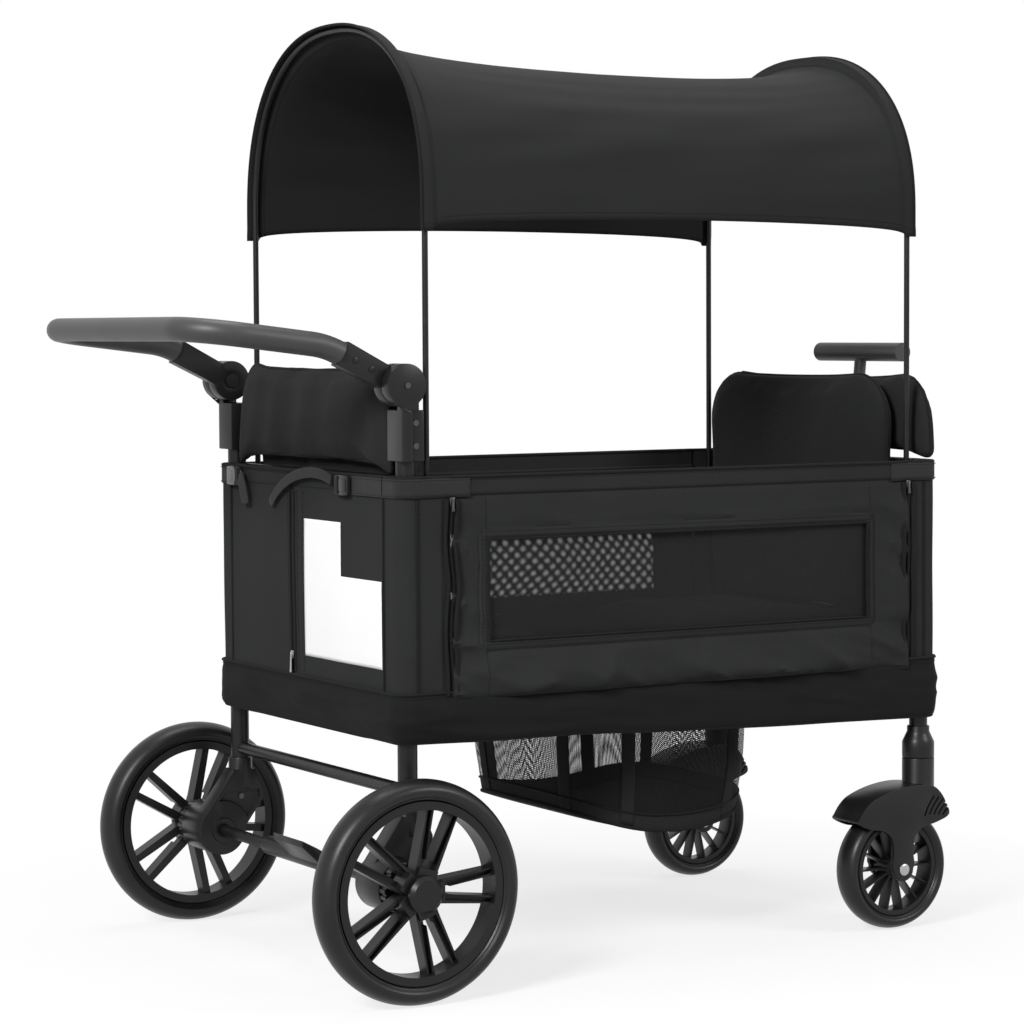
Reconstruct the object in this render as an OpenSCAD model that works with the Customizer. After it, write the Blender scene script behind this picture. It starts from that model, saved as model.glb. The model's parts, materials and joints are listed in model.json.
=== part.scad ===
// Folding stroller wagon: two seats that face each other in a fabric tub, a push
// handle at the rear, a pull handle at the front and an arched canopy on four poles.
// Millimetres. +X points to the caster end, +Y to the left, +Z up; z = 0 is the ground.

/* [Frame] */
// Distance from the rear posts to the front posts
post_span = 835; // [790:1:850]
// Distance from the left posts to the right posts
post_track = 504; // [460:1:540]
// Diameter of the corner posts
post_d = 26; // [24:1:27]
// Wall of the frame's tubes
tube_wall = 1.6; // [1.2:0.2:2.5]
// Top of the rear posts
rear_post_top = 745; // [735:1:750]
// Top of the front posts
front_post_top = 671; // [669:1:690]
// Height of the top rails
rail_z = 664; // [662:1:668]
// Diameter of the top rails
rail_d = 14; // [10:1:14]
// Height of the seat rails
seat_rail_z = 400; // [398:1:402]
// Diameter of the seat rails
seat_rail_d = 18; // [14:1:18]
// Height of the tube that ties the rear legs
cross_z = 260; // [258:1:290]
// Diameter of that tube
cross_d = 18; // [14:1:20]

/* [Seats] */
// Depth of a seat pan from its posts
pan_depth = 262; // [220:1:280]
// Width of a seat pan
pan_w = 420; // [360:1:424]
// Thickness of a seat pan
pan_t = 4; // [2:0.5:5]
// Depth of the lip on a seat pan's edge
pan_lip = 22; // [12:1:30]
// Thickness of a seat cushion
seat_t = 44; // [30:1:46]
// Thickness of a back cushion
back_t = 44; // [30:1:50]
// Width of a back cushion
back_w = 440; // [400:1:442]
// Thickness of the panel between the rear posts
back_panel_t = 26; // [20:1:30]
// Top of the rear back cushion
rear_back_top = 813; // [780:1:840]
// Top of the front headrest panel
front_back_top = 793; // [760:1:820]
// Width of the front headrest panel
head_w = 530; // [500:1:560]
// Thickness of the front headrest panel
head_t = 40; // [30:1:46]

/* [Fold] */
// Height between the two ends of a link when the wagon is open
link_rise = 90; // [90:1:94]
// Angle that the links turn through to fold, in degrees
fold_angle = 33; // [20:1:33]
// Width of a link
link_w = 16; // [14:1:16]
// Thickness of a link
link_t = 4; // [3:0.5:4]
// Diameter of the link pins
link_pin_d = 8; // [6:1:8]

/* [Rear wheels] */
// Diameter of a rear wheel
rear_wheel_d = 290; // [276:1:296]
// Distance between the rear wheels' middles
rear_gauge = 675; // [670:1:690]
// Width of a rear tyre
rear_tyre_w = 46; // [36:1:48]
// Depth of a rear tyre's section
rear_tyre_h = 27; // [20:1:32]
// Distance of the rear axle behind the posts
axle_back = 35; // [25:1:40]
// Diameter of the rear axle stubs
axle_d = 12; // [10:1:14]
// Number of twin spokes
spoke_count = 5; // [4:1:7]
// Outer radius of a wheel bracket's round housing
housing_r = 36; // [34:1:40]

/* [Casters] */
// Diameter of a caster wheel
caster_d = 176; // [160:1:180]
// Width of a caster tyre
caster_w = 42; // [34:1:44]
// Depth of a caster tyre's section
caster_tyre_h = 20; // [14:1:24]
// Distance of the caster axle behind its stem
caster_trail = 49; // [40:1:55]
// Diameter of the caster stem
stem_d = 16; // [12:1:18]
// Height of the seam between fork and stem housing
seam_z = 243; // [240:1:250]
// Outer radius of the fender
fender_r = 124; // [116:1:128]
// Number of thin ribs in a caster wheel
caster_rib_count = 14; // [8:1:18]

/* [Push handle] */
// Height of the handle's pivot
pivot_z = 788; // [784:1:792]
// Distance of that pivot behind the rear posts
pivot_back = 12; // [8:1:14]
// Diameter of the pivot discs
disc_d = 56; // [50:1:58]
// Length of the bracket arms
arm_len = 92; // [80:1:110]
// Rise of the bracket arms, in degrees
arm_rise = 27; // [15:1:30]
// Diameter of the grip
grip_d = 32; // [26:1:36]
// Radius of the upward bend
bend_r = 120; // [100:5:160]
// Straight length after that bend
grip_straight = 94.5; // [60:0.5:120]
// Upward tilt of the grip behind the bends
grip_tilt = 7; // [4:1:10]
// Radius of the grip's corners
grip_corner_r = 66; // [50:1:100]
// Travel of an adjuster button
button_travel = 3; // [2:0.5:4]

/* [Brake] */
// Diameter of the brake shaft
shaft_d = 16; // [12:1:18]
// Diameter of the locking pins
lock_pin_d = 8; // [6:1:8]
// Distance of the locking pins from the axle
lock_pin_r = 26; // [25:1:27]
// Number of locking holes in a wheel's flange
lock_holes = 12; // [6:6:12]

/* [Tub] */
// Top of the fabric tub
tub_top = 668; // [664:1:669]
// Bottom of the fabric walls
tub_bottom = 376; // [370:1:384]
// Thickness of the fabric walls
wall_t = 2.5; // [2:0.5:2.5]
// Radius of the fabric round a corner post
corner_r = 20; // [19.6:0.1:21]
// Distance from the rear posts to the rear corner zips
rear_zip_off = 55; // [50:1:70]
// Distance from the front posts to the front corner zips
front_zip_off = 37; // [36:1:60]
// Height of a window's lower edge
window_z0 = 452; // [440:1:480]
// Height of a window's upper edge
window_z1 = 585; // [560:1:610]
// Distance from the rear posts to a window
window_rear = 112; // [90:1:140]
// Distance from the front posts to a window
window_front = 108; // [90:1:140]
// Bottom of the skirt at the rear
skirt_rear_z = 324; // [318:1:330]
// Bottom of the skirt at the front
skirt_front_z = 302; // [296:1:330]
// Top of the skirt
skirt_top = 388; // [384:1:396]
// Width of the corner belts
belt_w = 25; // [18:1:26]

/* [Footwell] */
// Length of the footwell
well_l = 300; // [260:1:310]
// Width of the footwell
well_w = 400; // [340:1:410]
// Distance of the footwell's middle from the rear posts
well_x_off = 465; // [445:1:480]
// Height of the footwell's floor at its ends
well_end_z = 190; // [180:1:210]
// Height of the footwell's floor at its middle
well_mid_z = 160; // [150:1:178]
// Thickness of the footwell's wall
well_t = 3; // [2:0.5:4]

/* [Canopy] */
// Diameter of the canopy poles
pole_d = 8; // [6:1:8]
// Distance from the rear posts to the rear poles
rear_pole_off = 32; // [30:1:36]
// Distance from the front posts to the front poles
front_pole_off = 21; // [21:1:26]
// Distance from the middle to a pole
pole_y = 250; // [248:1:254]
// Height where the bows start to curve
spring_z = 1020; // [980:1:1040]
// Height of the canopy's hem at the poles
hem_z = 987; // [960:1:1000]
// Rise of the hem between the poles
hem_rise = 18; // [8:1:30]
// Sag of the canopy's ridge between the bows
ridge_sag = 45; // [20:1:60]
// Height of the rear bow above its straight poles
rear_bow_rise = 244; // [236:1:252]
// Height of the front bow above its straight poles
front_bow_rise = 231; // [224:1:250]
// Thickness of the canopy cloth
cloth_t = 2; // [1:0.5:3]
// Width of the cloth beyond each bow
cloth_over = 8; // [8:1:20]

/* [Pull handle] */
// Height of the pull handle's hinge
pull_z = 424; // [420:1:440]
// Distance of that hinge in front of the posts
pull_off = 50; // [46:1:60]
// Height of the pull grip
pull_grip_z = 822; // [790:1:840]
// Distance of the pull grip in front of the posts
pull_grip_off = 87; // [70:1:95]
// Diameter of the pull grip
pull_grip_d = 28; // [22:1:30]
// Length of the pull grip
pull_grip_w = 204; // [140:1:240]
// Outer diameter of the pull handle's outer tube
pull_tube_d = 24; // [22:1:26]
// Diameter of the pull handle's inner tube
pull_inner_d = 18; // [14:1:18]

/* [Hidden] */
$fn = 48;
// Overrun of every cut
overrun = 1;
// Gap between still pieces that sit on each other
seat_gap = 0.1;
// Gap between moving faces that pass each other
pass_gap = 0.7;
// Gap between soft pieces and their neighbours
soft_gap = 0.4;
// Radial clearance of pins, shafts and tubes that turn or slide
run_gap = 0.05;
// Radial clearance of the pivots and slots that only guide
open_gap = 0.3;

// Places of the posts, so that the whole length is centred on the origin
arm_run = arm_len * cos(arm_rise);
bend_run = bend_r * (sin(arm_rise) - sin(grip_tilt));
grip_run = (grip_straight + grip_corner_r) * cos(grip_tilt);
handle_overhang = pivot_back + arm_run + bend_run + grip_run + grip_d / 2;
pull_overhang = pull_grip_off + pull_grip_d / 2;
rear_x = handle_overhang - (post_span + handle_overhang + pull_overhang) / 2;
front_x = rear_x + post_span;
pan_room = 30.3;
post_y = max(post_track / 2, pan_w / 2 + pan_room);
post_r = post_d / 2;

// Collars and slotted plates that carry the links
collar_t = 3.5;
collar_h = 10;
collar_r = post_r + collar_t;
plate_t = 3.5;
plate_w = 20;
plate_y = post_y - collar_r - plate_t / 2 + seat_gap;
boss_r = 9;
link_pin_r = link_pin_d / 2;
link_waist = 1;
link_drop = 65;
half_span = post_span / 2;
link_len = sqrt(pow(half_span, 2) + pow(link_rise, 2));
open_angle = atan(link_rise / half_span);
slot_room = 4.8;
slot_top = rail_z - rail_d / 2 - slot_room - collar_h - link_pin_r - open_gap;
link_pivot_z = min(seat_rail_z - link_drop, slot_top - link_len * sin(open_angle + fold_angle));
slot_z0 = link_pivot_z + link_rise;
slot_z1 = link_pivot_z + link_len * sin(open_angle + fold_angle);
link_a_y1 = plate_y - plate_t / 2 - pass_gap;
link_a_y0 = link_a_y1 - link_t;
link_b_y1 = link_a_y0 - pass_gap;
link_b_y0 = link_b_y1 - link_t;
mid_x = rear_x + half_span;

// Rear axle line, wheel planes and brake
axle_x = rear_x - axle_back;
axle_z = rear_wheel_d / 2;
wheel_y = rear_gauge / 2;
axle_r = axle_d / 2;
rear_rim_r = rear_wheel_d / 2 - rear_tyre_h;
rim_w = 34;
rim_t = 11;
hub_r = 21;
hub_in = 30.5;
hub_out = 22;
flange_r = 35;
flange_t = 13;
spline_count = 24;
spline_r = 2.2;
spoke_hub_w = 13;
spoke_rim_w = 10;
spoke_t = 22;
spoke_hub_off = 7.5;
spoke_rim_off = 19;
spoke_fin = 2.2;
spoke_dish = 8;
spoke_boss_w = 26;
spoke_boss_l = 11;
spoke_boss_drop = 4;
cap_r = 24;
cap_t = 9;
flange_step = 3;
wheel_gap = 1.5;
web_t = 30;
web_out = 12;
pocket_t = 5;
pocket_rim = 6;
nose_t = 5;
web_foot_shares = [[0.8, -0.2], [-0.9, 0.4]];
housing_y0 = post_y - web_t / 2;
flange_y = wheel_y - hub_in - flange_step;
housing_y1 = flange_y - wheel_gap;
socket_t = 4;
socket_r = post_r + socket_t;
socket_up = 58;
socket_h = 44;
socket_z0 = axle_z + socket_up;
socket_z1 = socket_z0 + socket_h;
socket_floor = 6;
shaft_r = shaft_d / 2;
shaft_inset = 22;
lock_pin_rr = lock_pin_d / 2;
lock_len = 24;
lock_travel = 9;
pedal_y0 = -20;
pedal_y1 = 90;
pedal_r = 12.5;
paddle_y0 = -95;
paddle_t = 9;
paddle_reach = 40;
paddle_lift = 30;

// Casters
caster_r = caster_d / 2;
caster_z = caster_r;
caster_x = front_x - caster_trail;
caster_rim_r = caster_r - caster_tyre_h;
caster_rim_t = 7;
caster_rim_w = 32;
caster_hub_r = 15;
caster_hub_w = 44;
caster_rib_t = 2.4;
caster_rib_w = 22;
bolt_r = 5;
bolt_head_r = 8;
bolt_head_t = 2;
fork_gap = 3;
fork_t = 7;
fork_leg_r = 17;
fender_t = 6;
fender_n = 4;
crown_sink = 13;
fork_side_shares = [
    [-0.137, 0], [-0.14, 0.2], [-0.17, 0.37], [-0.3, 0.465], [-0.482, 0.50], [-0.648, 0.58],
    [-0.625, 0.64], [-0.547, 0.745], [-0.43, 0.83], [-0.2, 0.91], [0.02, 0.95], [0.22, 0.96], [0.42, 0.935],
    [0.528, 0.86], [0.606, 0.745], [0.661, 0.59], [0.482, 0.51], [0.28, 0.465], [0.17, 0.37], [0.14, 0.2],
    [0.137, 0]
];
stem_r = stem_d / 2;
crown_r = 23;
crown_h = 47;
crown_z = seam_z - crown_h;
shoulder_h = 22;
shoulder_z = seam_z + shoulder_h;
slope_h = 15;
neck_z = shoulder_z + slope_h;
neck_h = 8;
neck_top = neck_z + neck_h;
neck_t = 3;
neck_r = post_r + neck_t;
stem_land = 3;
stem_top = shoulder_z - stem_land;
front_post_z = shoulder_z + stem_land;
grille_count = 5;
grille_w = 2.8;
grille_pitch = 7.5;
grille_r = 40;
grille_middle_shares = [0.84, 0.42];
grille_start_angle = 118;
grille_end_angle = 150;
grille_turn = 4.5;

// Push handle pivots
arm_t = 20;
disc_r = disc_d / 2;
arm_inset = 1;
arm_y = post_y - arm_t / 2 - arm_inset;
arm_w = 30;
arm_end_w = 34;
clamp_w = 34;
clamp_grip = 55;
clamp_z0 = rear_post_top - clamp_grip;
clamp_drop = 4;
clamp_z1 = pivot_z - disc_r - clamp_drop;
clamp_in = 18;
clamp_y0 = post_y - clamp_in;
clamp_disc_y0 = arm_y + arm_t + pass_gap;
clamp_disc_t = 20;
clamp_y1 = clamp_disc_y0 + clamp_disc_t;
clamp_rib_r = 8.5;
clamp_face_y = clamp_y1 - clamp_rib_r;
pivot_pin_r = 6;
button_r = 10;
button_depth = 10;
screw_r = 4;
screw_t = 1.6;
clamp_screw_shares = [0.3, 0.75];
arm_screw_shares = [0.5, 0.78];
pivot_x = rear_x - pivot_back;
bar_y = arm_y + arm_t / 2;
arm_end_x = pivot_x - arm_run;
arm_end_z = pivot_z + arm_len * sin(arm_rise);
bend_x = arm_end_x - bend_r * sin(arm_rise);
bend_z = arm_end_z - bend_r * cos(arm_rise);
grip_way = [-cos(grip_tilt), 0, sin(grip_tilt)];
grip_up = [sin(grip_tilt), 0, cos(grip_tilt)];
corner_start = [bend_x, bar_y, bend_z] + bend_r * grip_up + grip_straight * grip_way;
grip_n = 8;
grip_sides = 24;
grip_step = 0.6;
grip_lap = 4;

// Tub walls, skirt and belts
side_in = post_y + corner_r - wall_t - seat_gap;
rear_out = rear_x - corner_r + seat_gap;
front_out = front_x + corner_r - seat_gap;
corner_flap = 24;
zip_gap = 0.6;
net_t = 1.2;
net_lap = 10;
net_cols = 24;
net_rows = 6;
net_cord = 3;
skirt_t = 3;
skirt_r = corner_r + soft_gap;
belt_t = 2;
belt_drop = 1;
belt_z = tub_top - belt_w - belt_drop;
belt_lap = 58;
buckle_w = 38;
buckle_h = 27;
buckle_t = 9;
buckle_left_off = 47;
buckle_right_off = 124;
patch_t = 0.8;
patch_edge = 6;
patch_low_w = 112;
patch_high_w = 108;
patch_up = 29;
patch_low_h = 115;
patch_high_h = 72;
patch_y0 = patch_edge + corner_flap - post_y;
patch_y1 = patch_y0 + patch_low_w;
patch_y2 = patch_y1 + patch_high_w;
patch_z0 = skirt_top + patch_up;
patch_z1 = patch_z0 + patch_low_h;
patch_z2 = patch_z1 + patch_high_h;
zip_y = 33;
puller_w = 8;
puller_t = 4;
puller_h = 12;
tab_h = 26;
tab_t = 1.6;
zip_z = skirt_top + pass_gap + tab_h - puller_h / 2;

// Cushions
seat_z0 = seat_rail_z + pan_t + soft_gap;
seat_top = seat_z0 + seat_t;
back_z0 = seat_top + pass_gap;
cushion_n = 32;
cushion_power = 5;
draw_share = 0.035;
cushion_depth_shares = [0, 0.06, 0.2, 0.5, 0.8, 0.94, 1];
cushion_size_shares = [0.62, 0.84, 0.96, 1, 0.96, 0.84, 0.62];

// Floor and footwell
floor_drop = 2;
floor_z = link_pivot_z - boss_r - floor_drop;
floor_t = 2.5;
well_rim_rise = 1;
well_rim_z = floor_z + well_rim_rise;
notch_gap = 1.5;
floor_notch_r = collar_r + notch_gap;
well_n = 36;
well_power = 4;
well_taper_share = 0.93;

// Canopy cloth
arch_n = 30;
bay_n = 12;
fade_power = 0.25;
bow_power = 2.3;
bow_n = 14;
pole_r = pole_d / 2;
rear_pole_x = rear_x + rear_pole_off;
front_pole_x = front_x - front_pole_off;
bow_flat = pole_d;
pole_socket_t = 3.4;
pole_socket_room = 2.2;
pole_socket_h = 80;
pole_tail = 80;
pole_socket_z1 = slot_z1 + link_pin_r + open_gap - pole_socket_room;
pole_socket_z0 = pole_socket_z1 - pole_socket_h;
pole_foot_z = pole_socket_z0 - pole_tail;
pole_web_w = 14;

// Pull handle
pull_x = front_x + pull_off;
pull_base_w = 60;
pull_base_h = 40;
pull_ear_t = 10;
pull_ear_r = 14;
pull_pin_r = 5;
pull_stem_w = 30;
pull_lean = atan((pull_grip_off - pull_off) / (pull_grip_z - pull_z));
pull_len = sqrt(pow(pull_grip_off - pull_off, 2) + pow(pull_grip_z - pull_z, 2));
pull_tube_len = 250;
pull_tube_start = 16;
pull_inner_start = 60;

// Soft black cloth, dark plastic, black tube and pale vinyl
cloth = "#343437";
plastic = "#232326";
tube = "#18181a";
rubber = "#202022";
vinyl = "#f2f2f0";
steel = "#b9bbbf";

// Children on the left side and mirrored to the right
module both() {
    children();
    mirror([0, 1, 0]) children();
}

// Children drawn for the left, mirrored when the side is -1
module on_side(side) {
    if (side > 0) children();
    else mirror([0, 1, 0]) children();
}

// Cylinder along Y between two places
module bar_y(r, y0, y1) {
    translate([0, y0, 0]) rotate([-90, 0, 0]) cylinder(h = y1 - y0, r = r);
}

// Outline in X and Z, drawn out along Y between two places
module from_xz(y0, y1) {
    translate([0, y1, 0]) rotate([90, 0, 0]) linear_extrude(y1 - y0) children();
}

// Outline in Y and Z, drawn out along X between two places
module from_yz(x0, x1) {
    translate([x0, 0, 0]) rotate([90, 0, 90]) linear_extrude(x1 - x0) children();
}

// Outline of radius and width turned round the Y axis
module turn_y() {
    rotate([-90, 0, 0]) rotate_extrude() children();
}

// Box between two corners
module block(a, b) {
    translate(a) cube(b - a);
}

// Triangles of a skin over rings of n points, its ends closed or joined
function skin_faces(n, m, ring) = concat(
    [for (j = [0 : m - (ring ? 1 : 2)], i = [0 : n - 1])
        let (a = j * n + i, b = j * n + (i + 1) % n, k = (j + 1) % m)
        each [[a, k * n + (i + 1) % n, b], [a, k * n + i, k * n + (i + 1) % n]]],
    ring ? [] : [for (i = [0 : n / 2 - 2])
        each [[i, i + 1, n - 2 - i], [i, n - 2 - i, n - 1 - i]]],
    ring ? [] : [for (i = [0 : n / 2 - 2]) let (o = (m - 1) * n)
        each [[o + i, o + n - 2 - i, o + i + 1], [o + i, o + n - 1 - i, o + n - 2 - i]]]
);

module skin(rings, ring = false) {
    n = len(rings[0]);
    polyhedron(points = [for (r = rings) each r], faces = skin_faces(n, len(rings), ring), convexity = 6);
}

// Rounded outline whose sides draw in between the corners
function pad_outline(a, b, power, draw, n) = [
    for (i = [0 : n - 1])
        let (t = 360 * (i + 0.5) / n, c = cos(t), s = sin(t), k = (1 - draw * pow(cos(2 * t), 2)) / (1 - draw))
        [k * a * sign(c) * pow(abs(c), 2 / power), k * b * sign(s) * pow(abs(s), 2 / power)]
];

// Crowned cushion between two planes of X, width along Y, height along Z
module cushion_x(x0, x1, w, z0, z1) {
    outline = pad_outline(w / 2, (z1 - z0) / 2, cushion_power, draw_share, cushion_n);
    skin([for (j = [0 : len(cushion_depth_shares) - 1])
        [for (p = outline) [
            x0 + (x1 - x0) * cushion_depth_shares[j],
            p[0] * cushion_size_shares[j],
            (z0 + z1) / 2 + p[1] * cushion_size_shares[j]
        ]]]);
}

// Crowned cushion between two planes of Z, length along X, width along Y
module cushion_z(x0, x1, w, z0, z1) {
    outline = pad_outline((x1 - x0) / 2, w / 2, cushion_power, draw_share, cushion_n);
    skin([for (j = [0 : len(cushion_depth_shares) - 1])
        [for (p = outline) [
            (x0 + x1) / 2 + p[0] * cushion_size_shares[j],
            p[1] * cushion_size_shares[j],
            z0 + (z1 - z0) * cushion_depth_shares[j]
        ]]]);
}

// Upright tube of the frame between two heights
module tube_z(r, z0, z1) {
    translate([0, 0, z0]) difference() {
        cylinder(h = z1 - z0, r = r);
        translate([0, 0, -overrun]) cylinder(h = z1 - z0 + 2 * overrun, r = r - tube_wall);
    }
}

// Tube of the frame along Y between two places
module tube_y(r, y0, y1) {
    difference() {
        bar_y(r, y0, y1);
        bar_y(r - tube_wall, y0 - overrun, y1 + overrun);
    }
}

// Room for the corner posts in what meets them
module post_cut(x, gap) {
    both() translate([x, post_y, 0]) cylinder(h = pivot_z, r = post_r + gap);
}

// Frame tubes

module rear_posts() {
    color(tube) both() translate([rear_x, post_y, 0]) tube_z(post_r, socket_z0 + socket_floor, rear_post_top);
}

module front_posts() {
    color(tube) both() translate([front_x, post_y, 0]) tube_z(post_r, front_post_z, front_post_top);
}

// Top rail, seat rail and seat pan of one end; way is 1 where the pan points to +X
module seat_frame(x, way) {
    difference() {
        union() {
            translate([x, 0, rail_z]) bar_y(rail_d / 2, -post_y, post_y);
            translate([x, 0, seat_rail_z]) bar_y(seat_rail_d / 2, -post_y, post_y);
            translate([x, 0, 0]) mirror([way > 0 ? 0 : 1, 0, 0]) {
                block([0, -pan_w / 2, seat_rail_z], [pan_depth, pan_w / 2, seat_rail_z + pan_t]);
                block([pan_depth - pan_t, -pan_w / 2, seat_rail_z - pan_lip],
                    [pan_depth, pan_w / 2, seat_rail_z + pan_t]);
            }
        }
        post_cut(x, seat_gap);
    }
}

module rear_seat_frame() {
    color(tube) seat_frame(rear_x, 1);
}

module front_seat_frame() {
    color(tube) seat_frame(front_x, -1);
}

module rear_cross_tube() {
    color(tube) difference() {
        translate([rear_x, 0, cross_z]) tube_y(cross_d / 2, -post_y, post_y);
        post_cut(rear_x, seat_gap);
    }
}

// Outline of a wheel bracket's arm from the leg socket to the housing
module arm_outline() {
    polygon(concat([
        [rear_x - socket_r, socket_z1 - socket_r],
        [rear_x + socket_r, socket_z1 - socket_r],
        [rear_x + socket_r + web_out, socket_z0],
        [rear_x + socket_r + web_out, socket_z0 - socket_r]
    ], [for (p = web_foot_shares) [axle_x + housing_r * p[0], axle_z + housing_r * p[1]]]));
}

// Hollow in the inner face of that arm
module arm_pocket() {
    difference() {
        offset(delta = -pocket_rim) arm_outline();
        translate([axle_x, axle_z]) circle(r = housing_r + pocket_rim);
        translate([rear_x - 2 * socket_r, socket_z0 - pocket_rim / 2]) square([4 * socket_r, 2 * socket_h]);
    }
}

// Cast bracket: leg socket, thick arm, round housing with a nose and the axle stub
module rear_bracket() {
    difference() {
        union() {
            translate([rear_x, post_y, socket_z0]) cylinder(h = socket_z1 - socket_z0, r = socket_r);
            from_xz(post_y - web_t / 2, post_y + web_t / 2) arm_outline();
            translate([axle_x, 0, axle_z]) {
                bar_y(housing_r, housing_y0, housing_y1);
                bar_y(housing_r / 2, housing_y0 - nose_t, housing_y1);
                bar_y(axle_r, housing_y0 + shaft_inset, wheel_y + hub_out);
            }
        }
        translate([rear_x, post_y, socket_z0 + socket_floor]) cylinder(h = socket_z1, r = post_r + seat_gap);
        from_xz(post_y - web_t / 2 - overrun, post_y - web_t / 2 + pocket_t) arm_pocket();
        translate([axle_x, 0, axle_z])
            bar_y(shaft_r + run_gap, housing_y0 - nose_t - overrun, housing_y0 + shaft_inset);
        translate([axle_x, 0, axle_z + lock_pin_r])
            bar_y(lock_pin_rr + run_gap, housing_y1 - lock_len - open_gap, housing_y1 + overrun);
    }
}

module rear_brackets() {
    color(plastic) both() rear_bracket();
}

// Collars that carry the links: pivot boss, slotted plate and the rings on the post
module link_collar(x, pin_y) {
    plate_y0 = plate_y - plate_t / 2;
    difference() {
        union() {
            translate([x, post_y, link_pivot_z - collar_h])
                cylinder(h = 2 * collar_h, r = collar_r);
            translate([x, 0, link_pivot_z]) bar_y(boss_r, plate_y0, post_y);
            for (z = [slot_z0 - collar_h - link_pin_r, slot_z1 + link_pin_r + open_gap])
                translate([x, post_y, z]) cylinder(h = collar_h, r = collar_r);
            block([x - plate_w / 2, plate_y0, slot_z0 - collar_h - link_pin_r],
                [x + plate_w / 2, plate_y0 + plate_t, slot_z1 + link_pin_r + open_gap + collar_h]);
        }
        post_cut(x, seat_gap);
        from_xz(plate_y0 - overrun, plate_y0 + plate_t + overrun) {
            translate([x - link_pin_r - open_gap, slot_z0]) square([link_pin_d + 2 * open_gap, slot_z1 - slot_z0]);
            for (z = [slot_z0, slot_z1]) translate([x, z]) circle(r = link_pin_r + open_gap);
        }
    }
    translate([x, 0, link_pivot_z]) bar_y(link_pin_r, pin_y, plate_y0 + plate_t);
}

module rear_collars() {
    color(plastic) both() link_collar(rear_x, link_a_y0);
}

module front_collars() {
    color(plastic) both() link_collar(front_x, link_b_y0);
}

// Scissor links, drawn from a lower to an upper end

function link_point(x, way, share) = [x + way * half_span * share, link_pivot_z + link_rise * share];

// Flat link with round ends and a hole where a pin of the other layer goes through
module link_plate(x, way, y0, holes) {
    difference() {
        from_xz(y0, y0 + link_t) {
            translate(link_point(x, way, 0)) rotate(way > 0 ? open_angle : 180 - open_angle)
                translate([0, link_waist - link_w / 2]) square([link_len, link_w - 2 * link_waist]);
            for (s = [0, 1]) translate(link_point(x, way, s)) circle(r = link_w / 2);
        }
        for (h = holes) translate([link_point(x, way, h[0])[0], 0, link_point(x, way, h[0])[1]])
            bar_y(link_pin_r + h[1], y0 - overrun, y0 + link_t + overrun);
    }
}

// Pin on a link, out to the plane y1
module link_pin(x, way, share, y0, y1) {
    p = link_point(x, way, share);
    translate([p[0], 0, p[1]]) bar_y(link_pin_r, y0, y1);
}

slide_end_y = plate_y + plate_t / 2 - open_gap;

module link_rear_up() {
    color(tube) both() link_plate(rear_x, 1, link_a_y0, [[0, run_gap], [0.5, run_gap], [1, run_gap]]);
}

module link_rear_down() {
    color(tube) both() {
        link_plate(mid_x, -1, link_b_y0, []);
        link_pin(mid_x, -1, 1, link_b_y1, slide_end_y);
        link_pin(mid_x, -1, 0.5, link_b_y1, link_a_y1);
        link_pin(mid_x, -1, 0, link_b_y1, link_a_y1);
    }
}

module link_front_up() {
    color(tube) both() {
        link_plate(mid_x, 1, link_a_y0, [[0, open_gap], [0.5, run_gap]]);
        link_pin(mid_x, 1, 1, link_a_y1, slide_end_y);
    }
}

module link_front_down() {
    color(tube) both() {
        link_plate(front_x, -1, link_b_y0, [[0, run_gap]]);
        link_pin(front_x, -1, 0.5, link_b_y1, link_a_y1);
        link_pin(front_x, -1, 1, link_b_y1, link_a_y1);
    }
}

// Push handle

// Clamp on a rear post: upright, outer disc and pivot pin
module handle_clamps() {
    color(plastic) both() difference() {
        union() {
            block([rear_x - clamp_w / 2, clamp_y0, clamp_z0], [rear_x + clamp_w / 2, clamp_face_y, clamp_z1]);
            translate([rear_x - clamp_w / 2 + clamp_rib_r, clamp_face_y, clamp_z0])
                cylinder(h = pivot_z - clamp_z0, r = clamp_rib_r);
            block([rear_x - clamp_w / 2, clamp_disc_y0, clamp_z1 - overrun],
                [rear_x + clamp_w / 2 - pivot_back, clamp_y1, pivot_z]);
            translate([pivot_x, 0, pivot_z]) bar_y(disc_r, clamp_disc_y0, clamp_y1);
            translate([pivot_x, 0, pivot_z])
                bar_y(pivot_pin_r, arm_y + button_depth + open_gap, clamp_y1);
        }
        translate([rear_x, post_y, 0]) cylinder(h = rear_post_top + seat_gap, r = post_r + seat_gap);
    }
}

// Screw heads on the clamps and rivets on the wheel brackets
module frame_screws() {
    color(steel) both() {
        for (share = clamp_screw_shares)
            translate([rear_x + screw_r, 0, clamp_z0 + (clamp_z1 - clamp_z0) * share])
                bar_y(screw_r, clamp_face_y, clamp_face_y + screw_t);
        translate([pivot_x, 0, pivot_z]) bar_y(screw_r, clamp_y1, clamp_y1 + screw_t);
        translate([rear_x - screw_r, 0, socket_z0 - 3 * screw_r])
            bar_y(screw_r, post_y - web_t / 2 + pocket_t - screw_t, post_y - web_t / 2 + pocket_t);
    }
}

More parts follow.
